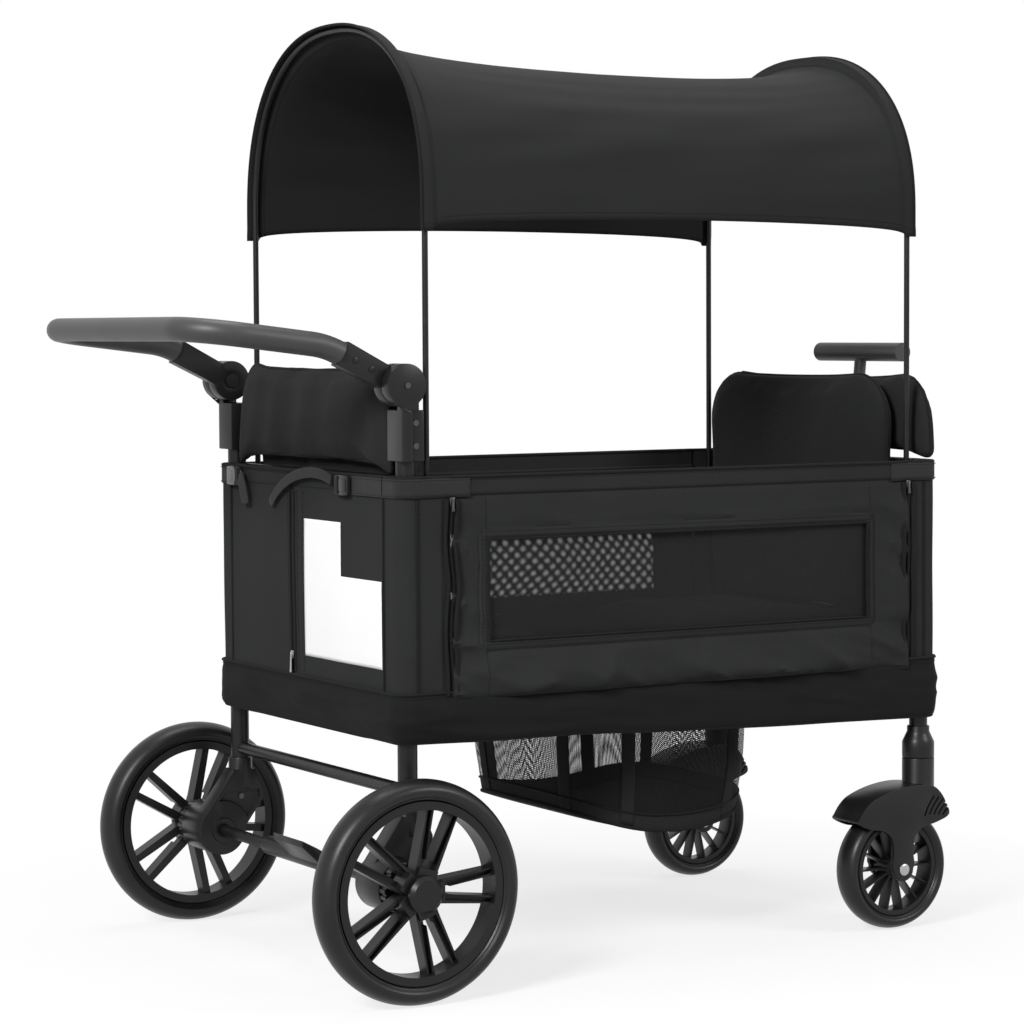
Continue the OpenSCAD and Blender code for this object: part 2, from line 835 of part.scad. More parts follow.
module handle_arms() {
    color(plastic) both() difference() {
        union() {
            translate([pivot_x, 0, pivot_z]) bar_y(disc_r, arm_y, arm_y + arm_t);
            translate([pivot_x, 0, pivot_z]) rotate([0, arm_rise, 0]) mirror([1, 0, 0])
                from_xz(arm_y, arm_y + arm_t) polygon([
                    [0, -arm_w / 2], [arm_len - seat_gap, -arm_end_w / 2], [arm_len - seat_gap, arm_end_w / 2], [0, arm_w / 2]
                ]);
            for (share = arm_screw_shares) translate([pivot_x, 0, pivot_z]) rotate([0, arm_rise, 0])
                translate([-arm_len * share, 0, 0]) bar_y(screw_r, arm_y, arm_y + arm_t + screw_t);
        }
        translate([pivot_x, 0, pivot_z]) {
            bar_y(pivot_pin_r + run_gap, arm_y, arm_y + arm_t + overrun);
            bar_y(button_r + run_gap, arm_y - overrun, arm_y + button_depth);
        }
    }
}

module handle_button(side) {
    color(plastic) on_side(side) translate([pivot_x, 0, pivot_z])
        bar_y(button_r, arm_y - button_travel, arm_y + button_depth - button_travel - open_gap);
}

module handle_button_left() {
    handle_button(1);
}

module handle_button_right() {
    handle_button(-1);
}

// Middle line of the left arm of the grip, as points with the two ways across: an upward bend, then a corner
grip_arm = concat(
    [for (i = [0 : grip_n]) let (a = arm_rise + (grip_tilt - arm_rise) * i / grip_n) [
        [bend_x + bend_r * sin(a), bar_y, bend_z + bend_r * cos(a)], [0, 1, 0], [sin(a), 0, cos(a)]
    ]],
    [for (i = [0 : grip_n]) let (a = 90 * i / grip_n) [
        corner_start + grip_corner_r * (sin(a) * grip_way - [0, 1 - cos(a), 0]),
        sin(a) * grip_way + [0, cos(a), 0], grip_up
    ]]
);

// Grip: a bent arm on each side and the thicker cross bar
module handle_bar() {
    grip_r = grip_d / 2;
    color(rubber) {
        both() skin([for (q = grip_arm) [
            for (i = [0 : grip_sides - 1]) let (t = 360 * i / grip_sides)
                q[0] + (grip_r - grip_step) * (cos(t) * q[1] - sin(t) * q[2])
        ]]);
        translate([corner_start[0], 0, corner_start[2]] + grip_corner_r * grip_way)
            bar_y(grip_r, grip_corner_r - bar_y - grip_lap, bar_y - grip_corner_r + grip_lap);
    }
}

// Rear wheels

module rear_tyre(side) {
    w = rear_tyre_w / 2;
    shoulder = rear_tyre_h / 2;
    r0 = rear_rim_r;
    r1 = rear_wheel_d / 2;
    color(rubber) on_side(side) translate([axle_x, wheel_y, axle_z]) turn_y() {
        translate([r0, -rim_w / 2]) square([shoulder, rim_w]);
        translate([r1 - shoulder, -w + shoulder]) square([shoulder, 2 * (w - shoulder)]);
        translate([r0 + shoulder / 2, -w + shoulder]) square([shoulder, 2 * (w - shoulder)]);
        for (s = [-1, 1]) translate([r1 - shoulder, s * (w - shoulder)]) circle(r = shoulder);
    }
}

module rear_tyre_left() {
    rear_tyre(1);
}

module rear_tyre_right() {
    rear_tyre(-1);
}

// Outline of one blade of a twin spoke; cut is the fin left round its hollow
module spoke_blade(s, cut) {
    hub_half = spoke_hub_w / 2 - cut;
    rim_half = spoke_rim_w / 2 - cut;
    r1 = rear_rim_r - rim_t / 2 - (cut > 0 ? rim_t / 2 + cut : 0);
    r0 = cut > 0 ? hub_r + spoke_boss_l : hub_r / 2;
    polygon([
        [r0, s * spoke_hub_off - hub_half], [r1, s * spoke_rim_off - rim_half],
        [r1, s * spoke_rim_off + rim_half], [r0, s * spoke_hub_off + hub_half]
    ]);
}

// Rim, twin spokes with hollow faces, hub with a boss at each spoke and the inner flange with its locking holes
module rear_rim(side) {
    r_in = rear_rim_r - rim_t;
    color(plastic) on_side(side) translate([axle_x, wheel_y, axle_z]) difference() {
        union() {
            turn_y() translate([r_in, -rim_w / 2]) square([rim_t, rim_w]);
            bar_y(hub_r, -hub_in, hub_out);
            bar_y(flange_r, flange_y - wheel_y, flange_y - wheel_y + flange_t);
            from_xz(-spoke_t / 2, spoke_t / 2)
                for (k = [0 : spoke_count - 1], s = [-1, 1]) rotate(360 * k / spoke_count) spoke_blade(s, 0);
            from_xz(-spoke_t / 2, hub_out - spoke_boss_drop)
                for (k = [0 : spoke_count - 1]) rotate(360 * k / spoke_count)
                    translate([hub_r / 2, -spoke_boss_w / 2]) square([hub_r / 2 + spoke_boss_l, spoke_boss_w]);
        }
        from_xz(spoke_t / 2 - spoke_dish, spoke_t / 2 + overrun)
            for (k = [0 : spoke_count - 1], s = [-1, 1]) rotate(360 * k / spoke_count) spoke_blade(s, spoke_fin);
        bar_y(axle_r + run_gap, flange_y - wheel_y - overrun, hub_out + overrun);
        for (k = [0 : lock_holes - 1]) rotate([0, 360 * k / lock_holes, 0]) translate([0, 0, lock_pin_r])
            bar_y(lock_pin_rr + pass_gap, flange_y - wheel_y - overrun, flange_y - wheel_y + flange_t - overrun);
        for (k = [0 : spline_count - 1]) rotate([0, 360 * (k + 0.5) / spline_count, 0])
            translate([0, 0, flange_r]) bar_y(spline_r, flange_y - wheel_y - overrun,
                flange_y - wheel_y + flange_t + overrun);
    }
}

module rear_rim_left() {
    rear_rim(1);
}

module rear_rim_right() {
    rear_rim(-1);
}

module hub_cap(side) {
    color(plastic) on_side(side) translate([axle_x, wheel_y + hub_out, axle_z]) {
        bar_y(cap_r, 0, cap_t / 2);
        translate([0, cap_t / 2, 0]) rotate([-90, 0, 0]) cylinder(h = cap_t / 2, r1 = cap_r, r2 = cap_r - cap_t / 2);
    }
}

module hub_cap_left() {
    hub_cap(1);
}

module hub_cap_right() {
    hub_cap(-1);
}

// Brake

module brake_shaft() {
    reach = housing_y0 + shaft_inset - open_gap;
    color(tube) translate([axle_x, 0, axle_z]) tube_y(shaft_r, -reach, reach);
}

// Sleeve on the shaft with a paddle that rises to the rear
module brake_pedal() {
    color(plastic) translate([axle_x, 0, axle_z]) difference() {
        union() {
            bar_y(pedal_r, pedal_y0, pedal_y1);
            from_xz(paddle_y0, pedal_y0 + pedal_r) polygon([
                [-pedal_r / 2, -pedal_r / 2],
                [-paddle_reach, paddle_lift - paddle_t / 2],
                [-paddle_reach, paddle_lift + paddle_t / 2],
                [-paddle_reach / 2, paddle_lift / 2 + paddle_t],
                [0, pedal_r]
            ]);
            bar_y(pedal_r, paddle_y0, pedal_y0 + pedal_r);
        }
        bar_y(shaft_r + seat_gap, paddle_y0 - overrun, pedal_y1 + overrun);
    }
}

module brake_pin(side) {
    color(steel) on_side(side) translate([axle_x, 0, axle_z + lock_pin_r])
        bar_y(lock_pin_rr, housing_y1 - lock_len, housing_y1 - open_gap);
}

module brake_pin_left() {
    brake_pin(1);
}

module brake_pin_right() {
    brake_pin(-1);
}

// Casters

// Stepped housing on the foot of a front post
module caster_housings() {
    color(plastic) both() translate([front_x, post_y, 0]) difference() {
        union() {
            translate([0, 0, seam_z]) cylinder(h = shoulder_z - seam_z, r = crown_r);
            translate([0, 0, shoulder_z]) cylinder(h = neck_z - shoulder_z, r1 = crown_r, r2 = neck_r);
            translate([0, 0, neck_z]) cylinder(h = neck_top - neck_z, r = neck_r);
        }
        translate([0, 0, front_post_z]) cylinder(h = neck_top, r = post_r + seat_gap);
        translate([0, 0, seam_z - overrun])
            cylinder(h = stem_top + open_gap - seam_z + overrun, r = stem_r + run_gap);
    }
}

// Smooth closed line through points, in steps between each two
function smooth_line(p, n) = let (m = len(p)) [
    for (i = [0 : m - 1], k = [0 : n - 1])
        let (t = k / n, a = p[(i + m - 1) % m], b = p[i], c = p[(i + 1) % m], d = p[(i + 2) % m])
        b + t * (c - a) / 2 + t * t * (a - 2.5 * b + 2 * c - d / 2)
            + t * t * t * (b * 1.5 - a / 2 - c * 1.5 + d / 2)
];

// Side of a fork round the wheel's centre: swept fender with pointed tips and the leg below it
module fork_side() {
    polygon(smooth_line(fork_side_shares * fender_r, fender_n));
}

// Points of an arc between two angles
function arc_line(r, a0, a1) = [
    for (i = [0 : fender_n]) let (t = a0 + (a1 - a0) * i / fender_n) r * [cos(t), sin(t)]
];

// Curved slots in a fork's side
module grille() {
    translate(grille_middle_shares * fender_r) for (k = [0 : grille_count - 1]) {
        r = grille_r + grille_pitch * k;
        a0 = grille_start_angle + grille_turn * k;
        a1 = grille_end_angle + grille_turn * k * 2 / 3;
        polygon(concat(arc_line(r - grille_w / 2, a0, a1), arc_line(r + grille_w / 2, a1, a0)));
    }
}

module caster_fork(side) {
    leg_in = caster_w / 2 + fork_gap;
    leg_out = leg_in + fork_t;
    color(plastic) on_side(side) translate([caster_x, post_y, caster_z]) {
        difference() {
            union() {
                from_xz(-leg_out, leg_out) difference() {
                    fork_side();
                    translate([0, -fender_t]) fork_side();
                    translate([-fender_r, -fender_r]) square([2 * fender_r, fender_r + caster_r * sin(30)]);
                }
                both() from_xz(leg_in, leg_out) {
                    fork_side();
                    circle(r = fork_leg_r);
                }
                translate([caster_trail, 0, crown_z - crown_sink - caster_z])
                    cylinder(h = seam_z - pass_gap - crown_z + crown_sink, r = crown_r);
            }
            both() from_xz(leg_out - fork_t / 2, leg_out + overrun) grille();
        }
        translate([caster_trail, 0, crown_z - caster_z]) cylinder(h = stem_top - crown_z, r = stem_r);
        bar_y(bolt_r, -leg_out, leg_out);
        both() bar_y(bolt_head_r, leg_out, leg_out + bolt_head_t);
    }
}

module caster_fork_left() {
    caster_fork(1);
}

module caster_fork_right() {
    caster_fork(-1);
}

module caster_tyre(side) {
    w = caster_w / 2;
    shoulder = caster_tyre_h / 2;
    color(rubber) on_side(side) translate([caster_x, post_y, caster_z]) turn_y() {
        translate([caster_rim_r, -caster_rim_w / 2]) square([shoulder, caster_rim_w]);
        translate([caster_rim_r + shoulder / 2, -w + shoulder]) square([shoulder, 2 * (w - shoulder)]);
        translate([caster_r - shoulder, -w + shoulder]) square([shoulder, 2 * (w - shoulder)]);
        for (s = [-1, 1]) translate([caster_r - shoulder, s * (w - shoulder)]) circle(r = shoulder);
    }
}

module caster_tyre_left() {
    caster_tyre(1);
}

module caster_tyre_right() {
    caster_tyre(-1);
}

module caster_rim(side) {
    r_in = caster_rim_r - caster_rim_t;
    color(plastic) on_side(side) translate([caster_x, post_y, caster_z]) difference() {
        union() {
            turn_y() translate([r_in, -caster_rim_w / 2]) square([caster_rim_t, caster_rim_w]);
            bar_y(caster_hub_r, -caster_hub_w / 2, caster_hub_w / 2);
            from_xz(-caster_rib_w / 2, caster_rib_w / 2) for (k = [0 : caster_rib_count - 1])
                rotate(360 * k / caster_rib_count) translate([0, -caster_rib_t / 2])
                    square([r_in + caster_rim_t / 2, caster_rib_t]);
        }
        bar_y(bolt_r + run_gap, -caster_hub_w, caster_hub_w);
    }
}

module caster_rim_left() {
    caster_rim(1);
}

module caster_rim_right() {
    caster_rim(-1);
}

// Fabric tub

module rear_wall() {
    w = post_y - corner_flap - zip_gap;
    color(cloth) block([rear_out, -w, tub_bottom], [rear_out + wall_t, w, tub_top]);
}

// Front wall with the hole that the pull handle's base goes through
module front_wall() {
    w = post_y - corner_flap - zip_gap;
    room = pull_base_w / 2 + soft_gap;
    color(cloth) difference() {
        block([front_out - wall_t, -w, tub_bottom], [front_out, w, tub_top]);
        block([front_out - wall_t - overrun, -room, pull_z - pull_base_h / 2 - soft_gap],
            [front_out + overrun, room, pull_z + pull_base_h / 2 + soft_gap]);
    }
}

// Band round a corner post from a flap on the end wall to a lap on the side wall
module corner_band(r, t, lap, flap) {
    difference() {
        union() {
            circle(r = r);
            translate([0, r - t]) square([lap, t]);
            translate([-r, -flap]) square([t, flap]);
        }
        circle(r = r - t);
        translate([0, -r - overrun]) square([r + overrun, 2 * r + overrun - t]);
        translate([t - r, -r - overrun]) square([2 * r, r + overrun]);
    }
}

// Bands on both corners of one end; way is 1 at the rear
module end_bands(x, way, r, t, lap, flap, z0, z1) {
    both() translate([x, post_y, z0]) mirror([way > 0 ? 0 : 1, 0, 0])
        linear_extrude(z1 - z0) corner_band(r, t, lap, flap);
}

module rear_corners() {
    color(cloth) end_bands(rear_x, 1, corner_r, wall_t, rear_zip_off, corner_flap, tub_bottom, tub_top);
}

module front_corners() {
    color(cloth) end_bands(front_x, -1, corner_r, wall_t, front_zip_off, corner_flap, tub_bottom, tub_top);
}

// Belts round the rear corners, each as far as its buckle
module rear_belts() {
    r = corner_r + soft_gap + belt_t;
    color(cloth) for (b = [[1, buckle_left_off], [-1, buckle_right_off]])
        on_side(b[0]) translate([rear_x, post_y, belt_z]) linear_extrude(belt_w)
            corner_band(r, belt_t, rear_zip_off + belt_lap / 2, b[1] + buckle_w / 2);
}

module front_belts() {
    r = corner_r + soft_gap + belt_t;
    color(cloth) end_bands(front_x, -1, r, belt_t, front_zip_off + belt_lap / 2, belt_lap, belt_z, belt_z + belt_w);
}

// Side-release buckles on the rear wall, each a frame with a tongue between its arms
module rear_buckles() {
    belt_x = rear_x - corner_r - soft_gap - belt_t - seat_gap;
    color(plastic) for (y = [post_y - buckle_left_off, buckle_right_off - post_y])
        translate([belt_x - buckle_t, y, belt_z + belt_w / 2]) from_yz(0, buckle_t) difference() {
            square([buckle_w, buckle_h], center = true);
            for (s = [-1, 1]) translate([0, s * buckle_h / 2]) square([buckle_w / 3, buckle_h / 4], center = true);
        }
}

module vinyl_patch() {
    color(vinyl) from_yz(rear_out - patch_t, rear_out) polygon([
        [patch_y0, patch_z0], [patch_y2, patch_z0], [patch_y2, patch_z2],
        [patch_y1, patch_z2], [patch_y1, patch_z1], [patch_y0, patch_z1]
    ]);
}

module zip_puller() {
    color(steel) translate([rear_out - soft_gap - puller_t, zip_y, zip_z]) {
        block([0, -puller_w / 2, 0], [puller_t, puller_w / 2, puller_h]);
        block([0, -puller_w / 4, -tab_h + puller_h / 2], [tab_t, puller_w / 4, puller_h / 2]);
    }
}

module side_walls() {
    x0 = rear_x + rear_zip_off + zip_gap;
    x1 = front_x - front_zip_off - zip_gap;
    color(cloth) both() from_xz(side_in, side_in + wall_t) difference() {
        translate([x0, tub_bottom]) square([x1 - x0, tub_top - tub_bottom]);
        translate([rear_x + window_rear, window_z0])
            square([post_span - window_rear - window_front, window_z1 - window_z0]);
    }
}

// Net behind each window: a border and a grid of square cords
module side_nets() {
    x0 = rear_x + window_rear;
    w = post_span - window_rear - window_front;
    h = window_z1 - window_z0;
    pitch_x = w / net_cols;
    pitch_z = h / net_rows;
    color(cloth) both() from_xz(side_in - soft_gap - net_t, side_in - soft_gap) difference() {
        translate([x0 - net_lap, window_z0 - net_lap]) square([w + 2 * net_lap, h + 2 * net_lap]);
        for (i = [0 : net_cols - 1], j = [0 : net_rows - 1])
            translate([x0 + pitch_x * i + net_cord / 2, window_z0 + pitch_z * j + net_cord / 2])
                square([pitch_x - net_cord, pitch_z - net_cord]);
    }
}

// Ring of points round the four posts
function tub_ring(r, z_rear, z_front) = [
    for (q = [0 : 3], i = [0 : 6])
        let (a = 90 * q + 15 * i, cx = (q == 0 || q == 3) ? front_x : rear_x, cy = q < 2 ? post_y : -post_y)
        [cx + r * cos(a), cy + r * sin(a), (cx + r * cos(a) - rear_x) / post_span * (z_front - z_rear) + z_rear]
];

// Soft skirt below the walls, deeper towards the front
module skirt() {
    color(cloth) skin([
        tub_ring(skirt_r + skirt_t, skirt_rear_z, skirt_front_z),
        tub_ring(skirt_r + skirt_t, skirt_top, skirt_top),
        tub_ring(skirt_r, skirt_top, skirt_top),
        tub_ring(skirt_r, skirt_rear_z, skirt_front_z)
    ], true);
}

// Ring of the footwell at a share of its depth, with the middle hanging lower
function well_ring(share, inset) = [
    for (p = pad_outline(well_l / 2 - inset, well_w / 2 - inset, well_power, 0, well_n))
        let (k = 1 - (1 - well_taper_share) * share, u = p[0] / (well_l / 2),
            low = well_mid_z + (well_end_z - well_mid_z) * u * u)
        [rear_x + well_x_off + p[0] * k, p[1] * k, well_rim_z + (low + inset - well_rim_z) * share]
];

// Cloth floor with the footwell that hangs from it
module footwell() {
    edge = skirt_r - soft_gap;
    color(cloth) {
        difference() {
            union() {
                block([rear_x - edge + soft_gap, -post_y, floor_z - floor_t],
                    [front_x + edge - soft_gap, post_y, floor_z]);
                block([rear_x, -post_y - edge, floor_z - floor_t], [front_x, post_y + edge, floor_z]);
            }
            both() for (x = [rear_x, front_x]) translate([x, post_y, 0]) cylinder(h = floor_z + overrun, r = floor_notch_r);
            translate([rear_x + well_x_off, 0, floor_z - floor_t - overrun]) linear_extrude(floor_t + 2 * overrun)
                polygon(pad_outline((well_l - well_t) / 2, (well_w - well_t) / 2, well_power, 0, well_n));
        }
        skin([
            well_ring(1, 0), well_ring(0.5, 0), well_ring(0, 0),
            well_ring(0, well_t), well_ring(0.5, well_t), well_ring(1, well_t)
        ]);
    }
}

// Cushions

module rear_seat() {
    x0 = rear_x + seat_rail_d / 2 + soft_gap;
    color(cloth) cushion_z(x0, rear_x + pan_depth, pan_w, seat_z0, seat_top);
}

module front_seat() {
    x1 = front_x - seat_rail_d / 2 - soft_gap;
    color(cloth) cushion_z(front_x - pan_depth, x1, pan_w, seat_z0, seat_top);
}

module rear_backrest() {
    x0 = rear_x + rail_d / 2 + soft_gap;
    z0 = rail_z + rail_d / 2 + soft_gap;
    color(cloth) {
        cushion_x(x0, x0 + back_t, back_w, back_z0, rear_back_top);
        cushion_x(x0 - soft_gap - back_panel_t, x0 - soft_gap, 2 * (clamp_y0 - soft_gap), z0, rear_back_top);
    }
}

// Seat back that leans on the front rail and the wide headrest panel behind its top
module front_backrest() {
    x1 = front_x - rail_d / 2 - soft_gap;
    z0 = front_post_top + soft_gap;
    color(cloth) {
        cushion_x(x1 - back_t, x1, back_w, back_z0, front_back_top);
        cushion_x(front_x - rail_d / 2, front_x - rail_d / 2 + head_t, head_w, z0, front_back_top);
    }
}

// Canopy

// Point of a bow's arch at a step, for its half width and its rise
function arch_point(i, wide, top) = let (t = 180 * i / arch_n) [
    wide * sign(cos(t)) * pow(abs(cos(t)), 2 / bow_power),
    spring_z + top * pow(abs(sin(t)), 2 / bow_power)
];

// Middle line of a bow from foot to foot
function bow_line(rise) = concat(
    [[pole_y, pole_foot_z]],
    [for (i = [0 : arch_n]) arch_point(i, pole_y, rise)],
    [[-pole_y, pole_foot_z]]
);

// Ring round a bow's line at one of its points
function bow_ring(x, line, k) = let (
    a = line[max(k - 1, 0)], b = line[min(k + 1, len(line) - 1)], d = (b - a) / norm(b - a)
) [for (i = [0 : bow_n - 1]) let (t = 360 * i / bow_n) [
    x + pole_r * cos(t), line[k][0] + pole_r * sin(t) * d[1], line[k][1] - pole_r * sin(t) * d[0]
]];

// Bow of two straight poles and an arch with full shoulders
module bow(x, rise) {
    line = bow_line(rise);
    skin([for (k = [0 : len(line) - 1]) bow_ring(x, line, k)]);
}

module rear_bow() {
    color(tube) bow(rear_pole_x, rear_bow_rise);
}

module front_bow() {
    color(tube) bow(front_pole_x, front_bow_rise);
}

// Sockets beside the posts that the poles slide in
module pole_sockets(post_x, pole_x) {
    both() difference() {
        union() {
            translate([pole_x, pole_y, pole_socket_z0])
                cylinder(h = pole_socket_z1 - pole_socket_z0, r = pole_r + pole_socket_t);
            block([min(post_x, pole_x), pole_y - pole_web_w / 2, pole_socket_z0],
                [max(post_x, pole_x), pole_y + pole_web_w / 2, pole_socket_z1]);
        }
        post_cut(post_x, seat_gap);
        translate([pole_x, pole_y, pole_socket_z0 - overrun])
            cylinder(h = pole_socket_z1 - pole_socket_z0 + 2 * overrun, r = pole_r + run_gap);
    }
}

module rear_sockets() {
    color(plastic) pole_sockets(rear_x, rear_pole_x);
}

module front_sockets() {
    color(plastic) pole_sockets(front_x, front_pole_x);
}

// Stations along the bay: both edges and even steps between the bands that lie on the bows
function bay_share(j) = min(max((j - 1) / (bay_n - 2), 0), 1);
function bay_x(j) = j == 0 ? rear_pole_x - cloth_over
    : j == bay_n ? front_pole_x + cloth_over
    : rear_pole_x + bow_flat + (front_pole_x - rear_pole_x - 2 * bow_flat) * bay_share(j);
function bay_fade(j) = pow(abs(sin(180 * bay_share(j))), fade_power);

// Rise of the bows at a station, level with each bow and even between them
function bay_rise(j) = rear_bow_rise + (front_bow_rise - rear_bow_rise)
    * min(max((bay_x(j) - rear_pole_x) / (front_pole_x - rear_pole_x), 0), 1);

// Line of the cloth at a station, from the left hem over the ridge to the right hem, at a distance from the bows' line
function arch_line(j, off) = let (
    wide = (pole_y + off) / cos(90 / arch_n), hem = hem_z + hem_rise * bay_fade(j),
    top = (bay_rise(j) + off) / cos(90 / arch_n) - ridge_sag * bay_fade(j)
) concat(
    [[wide, hem]],
    [for (i = [0 : arch_n]) arch_point(i, wide, top)],
    [[-wide, hem]]
);

function canopy_ring(j) = let (off = pole_r + soft_gap, inner = arch_line(j, off)) [
    for (p = arch_line(j, off + cloth_t)) [bay_x(j), p[0], p[1]],
    for (i = [len(inner) - 1 : -1 : 0]) [bay_x(j), inner[i][0], inner[i][1]]
];

module canopy_sheet() {
    color(cloth) skin([for (j = [0 : bay_n]) canopy_ring(j)]);
}

// Pull handle

// Base on the front seat rail with two ears and the hinge pin
module pull_base() {
    rail_r = seat_rail_d / 2;
    color(plastic) difference() {
        union() {
            block([front_x, -pull_base_w / 2, pull_z - pull_base_h / 2],
                [pull_x - pull_ear_r - pass_gap, pull_base_w / 2, pull_z + pull_base_h / 2]);
            both() {
                translate([pull_x, 0, pull_z]) bar_y(pull_ear_r, pull_base_w / 2 - pull_ear_t, pull_base_w / 2);
                block([front_x + rail_r, pull_base_w / 2 - pull_ear_t, pull_z - pull_ear_r],
                    [pull_x, pull_base_w / 2, pull_z + pull_ear_r]);
            }
            translate([pull_x, 0, pull_z]) bar_y(pull_pin_r, -pull_base_w / 2, pull_base_w / 2);
        }
        translate([front_x, 0, seat_rail_z]) bar_y(rail_r + seat_gap, -pull_base_w, pull_base_w);
        block([front_x - overrun, -pull_base_w, seat_rail_z], [front_x + rail_r / 2, pull_base_w, seat_rail_z + rail_r + pan_t]);
    }
}

// Children along the pull handle's own line, z from the hinge to the grip
module on_pull_line() {
    translate([pull_x, 0, pull_z]) rotate([0, pull_lean, 0]) children();
}

module pull_stem() {
    knuckle_w = pull_base_w - 2 * pull_ear_t - 2 * pass_gap;
    color(tube) on_pull_line() difference() {
        union() {
            bar_y(pull_ear_r - pass_gap, -knuckle_w / 2, knuckle_w / 2);
            cylinder(h = pull_tube_len, r = pull_tube_d / 2);
        }
        bar_y(pull_pin_r + run_gap, -knuckle_w, knuckle_w);
        translate([0, 0, pull_tube_start]) cylinder(h = pull_tube_len, r = pull_inner_d / 2 + run_gap);
    }
}

module pull_grip() {
    color(rubber) on_pull_line() {
        translate([0, 0, pull_inner_start]) cylinder(h = pull_len - pull_inner_start, r = pull_inner_d / 2);
        translate([0, 0, pull_len]) bar_y(pull_grip_d / 2, -pull_grip_w / 2, pull_grip_w / 2);
    }
}

rear_posts();
rear_seat_frame();
rear_cross_tube();
rear_brackets();
handle_clamps();
frame_screws();
rear_collars();
rear_wall();
rear_corners();
rear_backrest();
rear_seat();
vinyl_patch();
rear_belts();
rear_buckles();
rear_sockets();
side_walls();
side_nets();
skirt();
footwell();
zip_puller();
handle_bar();
handle_arms();
handle_button_left();
handle_button_right();
rear_tyre_left();
rear_tyre_right();
rear_rim_left();
rear_rim_right();
hub_cap_left();
hub_cap_right();
brake_shaft();
brake_pedal();
brake_pin_left();
brake_pin_right();
front_posts();
front_seat_frame();
caster_housings();
front_collars();
front_wall();
front_corners();
front_backrest();
front_seat();
front_belts();
front_sockets();
pull_base();
link_rear_up();
link_rear_down();
link_front_up();
link_front_down();
caster_fork_left();
caster_fork_right();
caster_tyre_left();
caster_tyre_right();
caster_rim_left();
caster_rim_right();
rear_bow();
front_bow();
canopy_sheet();
pull_stem();
pull_grip();
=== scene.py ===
"""Looks of a folding stroller wagon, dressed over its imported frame.

Metres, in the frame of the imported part: +X to the casters, +Y to the left, +Z up.
"""

import json
import logging
import math
from dataclasses import dataclass
from enum import Enum
from functools import cached_property
from typing import Any, Callable, Iterable, Sequence

import bmesh
import bpy
from mathutils import Matrix, Vector, noise
from mathutils.bvhtree import BVHTree

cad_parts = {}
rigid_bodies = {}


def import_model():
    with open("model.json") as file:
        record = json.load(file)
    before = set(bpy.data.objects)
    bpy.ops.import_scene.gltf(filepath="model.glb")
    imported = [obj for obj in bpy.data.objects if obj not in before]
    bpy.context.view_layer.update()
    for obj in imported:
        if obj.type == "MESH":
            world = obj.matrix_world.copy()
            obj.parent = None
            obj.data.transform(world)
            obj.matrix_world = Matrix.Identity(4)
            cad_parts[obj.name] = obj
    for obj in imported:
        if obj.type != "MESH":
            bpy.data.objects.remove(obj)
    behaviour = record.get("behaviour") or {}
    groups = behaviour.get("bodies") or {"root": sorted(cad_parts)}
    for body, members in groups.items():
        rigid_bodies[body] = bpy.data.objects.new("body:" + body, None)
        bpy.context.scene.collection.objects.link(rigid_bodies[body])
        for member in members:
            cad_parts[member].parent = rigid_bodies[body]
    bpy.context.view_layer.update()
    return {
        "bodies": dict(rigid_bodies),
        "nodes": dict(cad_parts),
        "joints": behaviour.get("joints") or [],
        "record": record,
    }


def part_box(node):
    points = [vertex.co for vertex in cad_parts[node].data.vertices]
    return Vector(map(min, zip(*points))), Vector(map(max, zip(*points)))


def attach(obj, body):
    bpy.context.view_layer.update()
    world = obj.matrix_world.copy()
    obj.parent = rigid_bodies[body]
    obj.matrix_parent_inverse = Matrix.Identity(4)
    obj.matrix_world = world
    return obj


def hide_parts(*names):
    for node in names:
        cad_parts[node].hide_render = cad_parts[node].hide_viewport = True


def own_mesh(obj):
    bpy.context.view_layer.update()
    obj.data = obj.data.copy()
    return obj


LOG = logging.getLogger("stroller_wagon")
Surface = Callable[[float, float], Vector]
Line = list[Vector]
Mesh = bmesh.types.BMesh
Piece = bpy.types.Object
SIDES = ((1, "left"), (-1, "right"))


class Coords(Enum):
    """Where a finish takes its pattern from."""

    OBJECT = "Object"
    UV = "UV"


@dataclass(frozen=True)
class Places:
    """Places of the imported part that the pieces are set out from."""

    rear_x: float = -0.313435
    front_x: float = 0.521565
    post_y: float = 0.252
    corner_r: float = 0.0200
    tub_top: float = 0.668
    tub_bottom: float = 0.376
    rear_zip: float = 0.055
    front_zip: float = 0.037
    corner_flap: float = 0.024
    band: float = 0.643
    fold_run: float = 0.2328

    @property
    def middle(self) -> float:
        """Middle of the wagon along X."""
        return (self.rear_x + self.front_x) / 2

    @property
    def rear_out(self) -> float:
        """Outer face of the rear wall."""
        return self.rear_x - self.corner_r

    @property
    def front_out(self) -> float:
        """Outer face of the front wall."""
        return self.front_x + self.corner_r

    @property
    def side_out(self) -> float:
        """Outer face of a side wall."""
        return self.post_y + self.corner_r

    @property
    def corner_arc(self) -> float:
        """Length of cloth round a corner post."""
        return self.corner_r * math.pi / 2

    def keep(self, x0: float, x1: float) -> float:
        """Share of its length that cloth from x0 to x1 keeps when the frame is folded.

        Args:
            x0: End that stays with the rear frame.
            x1: End that goes with the front frame.

        Returns:
            The share.
        """
        return (x1 - x0 - self.fold_run) / (x1 - x0)


@dataclass(frozen=True)
class Sewing:
    """Thicknesses that the sewn pieces share."""

    cloth: float = 0.0016
    piping: float = 0.0019
    top_piping: float = 0.0026
    low_piping: float = 0.0022
    weld: float = 1e-5


PLACES = Places()
SEWING = Sewing()


